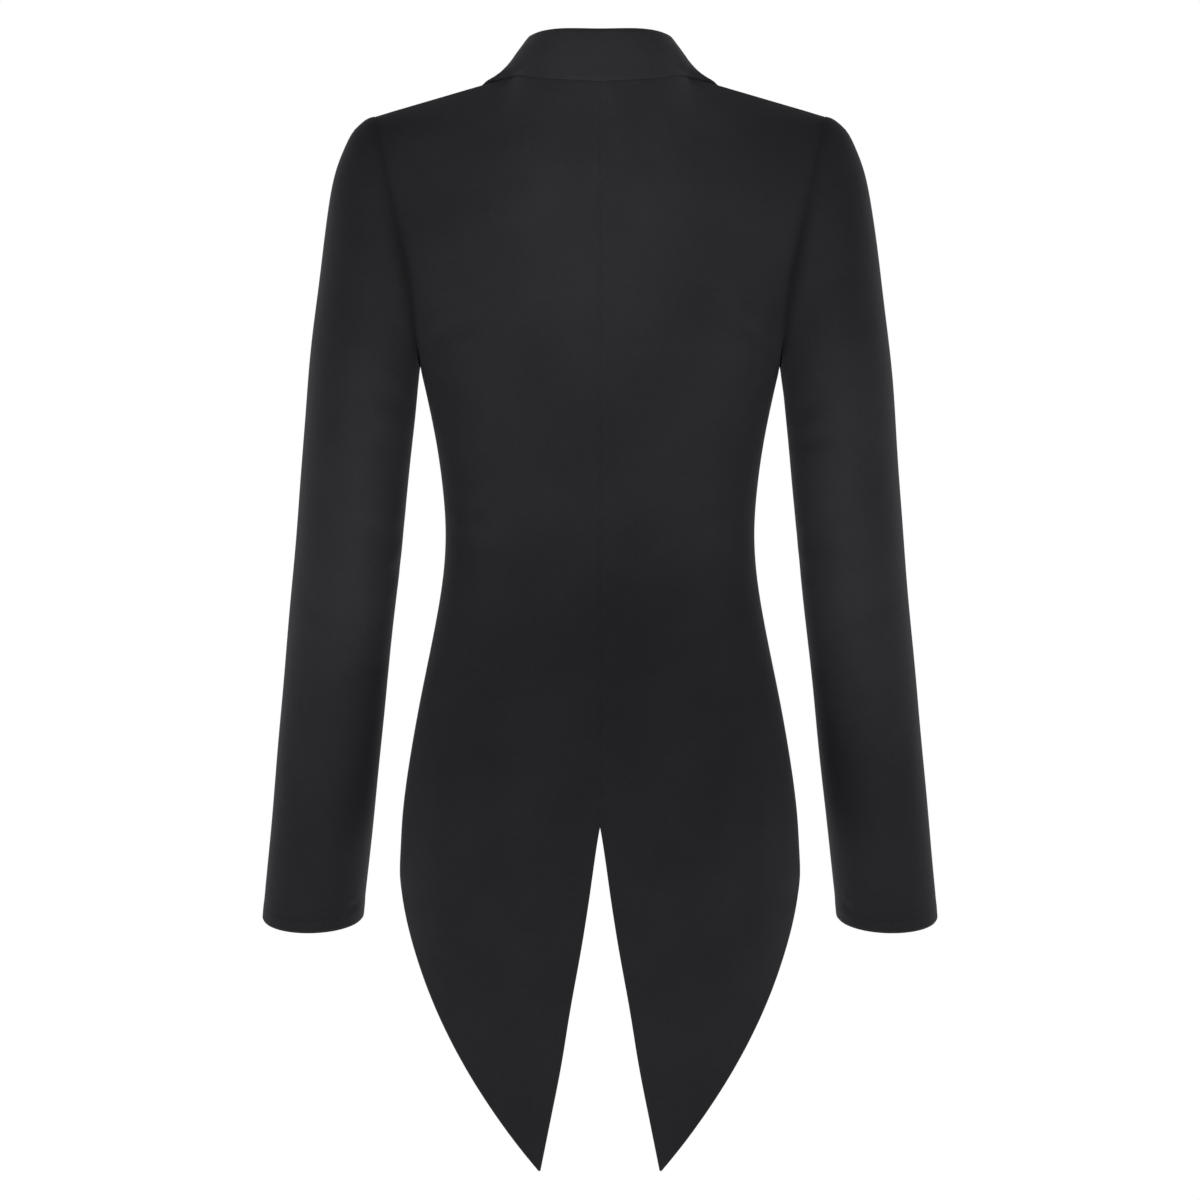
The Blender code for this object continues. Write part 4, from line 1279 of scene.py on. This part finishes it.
def horn(name):
    """Dark button horn: faint streaks and a satin rim."""
    material, n = node_material(name)
    stretch = n.fill(n.add("ShaderNodeMapping"), Vector=n.place(), Scale=(60.0, 400.0, 160.0))
    streak = n.noise(stretch, 1.0, 4.0)
    n.surface(
        Base_Color=n.mix(n.spread(streak, 0.35, 0.7, 0.0, 1.0), HORN_DARK, HORN_LIGHT),
        Roughness=n.math("MULTIPLY_ADD", streak, 0.2, 0.24),
        Normal=n.bump(streak, 0.25, 0.0004),
    )
    return material


def sewing_thread(name):
    material, n = node_material(name)
    twist = n.noise(n.place(), 2200.0, 1.0)
    n.surface(
        Base_Color=n.mix(twist, THREAD_DARK, THREAD_LIGHT),
        Roughness=n.math("MULTIPLY_ADD", twist, 0.2, 0.55),
        Normal=n.bump(twist, 0.5, 0.0002),
    )
    return material


# --- making the coat --------------------------------------

COARSE = coarse_panels()
OVER = lapped(*COARSE["front"])

SIDES = ((1, "left"), (-1, "right"))
outer_faces = {}
made = {}
for side, label in SIDES:
    for kind, maker in (("back", back_piece), ("front", front_piece), ("sleeve", sleeve_piece)):
        piece = maker(side)
        outer_faces[kind, side] = piece[0]
        name = f"{kind}_{label}_cloth"
        sleeve = kind == "sleeve"
        finish = suiting(name + "_finish", sleeve)
        made[f"{kind}_{label}"] = add_cloth(name, piece, sleeve, finish, side)

for side, label in SIDES:
    tree = surface_tree([widened(outer_faces["front", side])])
    piece = lapel_piece(tree, side > 0)
    name = f"lapel_{label}_cloth"
    made[f"lapel_{label}"] = add_cloth(name, piece, False, suiting(name + "_finish"), side)

tree = surface_tree([outer_faces["back", 1], outer_faces["front", 1]])
piece = collar_piece(coarse_collar(tree))
made["collar"] = add_cloth("collar_cloth", piece, False, suiting("collar_finish"), 1)

for name, (flat, rests_on) in SHEETS.items():
    thing = made[name]
    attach(thing, "root")
    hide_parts(name)


# --- the button -------------------------------------------


def button_disc():
    """A turned rim round a dished middle, with four holes cut through it."""
    edit = bmesh.new()
    verts = [edit.verts.new((radius, 0.0, height)) for radius, height in BUTTON_OUTLINE]
    edges = [edit.edges.new(pair) for pair in zip(verts, verts[1:])]
    bmesh.ops.spin(
        edit, geom=verts + edges, cent=(0, 0, 0), axis=(0, 0, 1),
        angle=2 * math.pi, steps=72, use_merge=True,
    )
    bmesh.ops.remove_doubles(edit, verts=edit.verts[:], dist=1e-6)
    disc = add_object("button_horn", mesh_from(edit, "button_horn"))
    edit = bmesh.new()
    for x in (-HOLE_PLACE, HOLE_PLACE):
        for y in (-HOLE_PLACE, HOLE_PLACE):
            drill = bmesh.ops.create_cone(
                edit, cap_ends=True, segments=20, radius1=HOLE_RADIUS, radius2=HOLE_RADIUS,
                depth=0.012,
            )
            bmesh.ops.translate(edit, verts=drill["verts"], vec=(x, y, 0.0))
    cutter = add_object("button_holes", mesh_from(edit, "button_holes"))
    cut = disc.modifiers.new("holes", "BOOLEAN")
    cut.operation = "DIFFERENCE"
    cut.solver = "EXACT"
    cut.object = cutter
    bpy.context.view_layer.update()
    evaluated = disc.evaluated_get(bpy.context.evaluated_depsgraph_get())
    disc.data = bpy.data.meshes.new_from_object(evaluated)
    disc.modifiers.clear()
    disc.data.materials.clear()
    bpy.data.objects.remove(cutter, do_unlink=True)
    return disc


def crossed_thread():
    """Two threads over each diagonal, from hole to hole."""
    edit = bmesh.new()
    sides = 8
    lengths = 8
    turns = 2 * math.pi * np.arange(sides) / sides
    up = np.array((0.0, 0.0, 1.0))
    for start, end in (((-1, -1), (1, 1)), ((-1, 1), (1, -1))):
        start = np.array((*start, 0.0))
        run = np.array((*end, 0.0)) - start
        across = np.cross(unit(run), up)
        crossing = THREAD_CROSSING if start[1] > 0 else 0.0
        for offset in (THREAD_RADIUS, -THREAD_RADIUS):
            rings = []
            for t in np.arange(lengths + 1) / lengths:
                arch = max(0.0, math.sin(math.pi * t))
                height = THREAD_BASE + THREAD_RISE * arch**0.6 + crossing * arch
                centre = (start + run * t) * HOLE_PLACE + up * height + across * offset
                ring = [centre + THREAD_RADIUS * (across * math.cos(a) + up * math.sin(a)) for a in turns]
                rings.append([edit.verts.new(point) for point in ring])
            for one, two in zip(rings, rings[1:]):
                for m in range(sides):
                    after = (m + 1) % sides
                    edit.faces.new([one[m], one[after], two[after], two[m]])
            edit.faces.new(rings[0][::-1])
            edit.faces.new(rings[-1])
    return add_object("button_thread", mesh_from(edit, "button_thread"))


def add_button():
    """A four-hole button on the upper front, sewn on with crossed thread."""
    tree = surface_tree([widened(OVER)])
    seat, outward = on_front(tree, 0.0, BUTTON_Z, BUTTON_SEAT)
    turn = Vector(outward * (-1.0, 1.0, 1.0)).to_track_quat("Z", "Y").to_matrix().to_4x4()
    turn.translation = seat
    disc = button_disc()
    thread = crossed_thread()
    for thing, finish in ((disc, horn("button_finish")), (thread, sewing_thread("thread_finish"))):
        thing.data.transform(turn)
        thing.data.shade_smooth()
        thing.data.materials.append(finish)
        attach(thing, "root")
    disc.data.set_sharp_from_angle(angle=math.radians(35))
    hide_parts("button")


add_button()

# --- view, light and floor --------------------------------


def add_camera():
    data = bpy.data.cameras.new("camera")
    data.lens = CAMERA_LENS
    data.sensor_width = 36.0
    data.clip_end = 60.0
    camera = add_object("camera", data)
    camera.location = (0.0, CAMERA_DISTANCE, CAMERA_HEIGHT)
    camera.rotation_euler = (math.pi / 2, 0.0, math.pi)
    bpy.context.scene.camera = camera


def add_light(name, kind, place, aim, power, **settings):
    data = bpy.data.lights.new(name, kind)
    data.energy = power
    for key, value in settings.items():
        setattr(data, key, value)
    light = add_object(name, data)
    light.location = place
    light.rotation_euler = (Vector(aim) - Vector(place)).to_track_quat("-Z", "Y").to_euler()


def add_spot(name, place, aim, power, degrees):
    angle = math.radians(degrees)
    add_light(
        name, "SPOT", place, aim, power, spot_size=angle, spot_blend=1.0, shadow_soft_size=0.08
    )


def add_panel(name, place, aim, power, width, height):
    add_light(name, "AREA", place, aim, power, shape="RECTANGLE", size=width, size_y=height)


def add_world():
    """Even white around the coat, dimmer overhead, below and beside the view."""
    world = bpy.data.worlds.new("studio")
    bpy.context.scene.world = world
    world.use_nodes = True
    n = Nodes(world.node_tree)
    _, y, z = n.parts(n.add("ShaderNodeTexCoord").outputs["Generated"])
    poles = n.spread(n.math("ABSOLUTE", z), 0.12, 0.55, 1.0, WORLD_POLES)
    beside = n.spread(y, -0.75, 0.2, 1.0, WORLD_BESIDE)
    white = n.fill(
        n.add("ShaderNodeBackground"),
        Color=(1.0, 1.0, 1.0, 1.0), Strength=n.math("MULTIPLY", poles, beside),
    )
    n.put(n.add("ShaderNodeOutputWorld").inputs["Surface"], white)


def add_floor():
    mesh = bpy.data.meshes.new("floor")
    corners = [(x * FLOOR_HALF, y * FLOOR_HALF, FLOOR_Z) for x, y in FLOOR_CORNERS]
    mesh.from_pydata(corners, [], [(0, 1, 2, 3)])
    material, n = node_material("floor_finish")
    cloud = n.noise(n.place(), 1.5, 2.0)
    n.surface(Base_Color=n.mix(cloud, FLOOR_DARK, FLOOR_LIGHT), Roughness=0.9)
    mesh.materials.append(material)
    add_object("floor", mesh)


add_camera()
add_world()
add_floor()
add_panel("key", (0.0, 5.2, -0.75), (0.0, 0.0, -0.40), KEY_POWER, 2.0, 1.6)
for side, label in SIDES:
    aim = (side * 0.235, 0.0, -0.32)
    add_spot(f"sleeve_{label}", (side * -0.5, 3.2, -0.2), aim, SLEEVE_POWER, 7.5)
add_panel("floor_panel", (0.0, 0.0, FLOOR_Z + 0.25), (0.0, 0.0, FLOOR_Z), FLOOR_POWER, 5.0, 5.0)
add_spot("upper_back", (0.0, 3.0, 0.10), (0.0, 0.06, -0.055), UPPER_BACK_POWER, 8.0)
scene = bpy.context.scene
scene.view_settings.view_transform = "Standard"
scene.view_settings.look = "None"
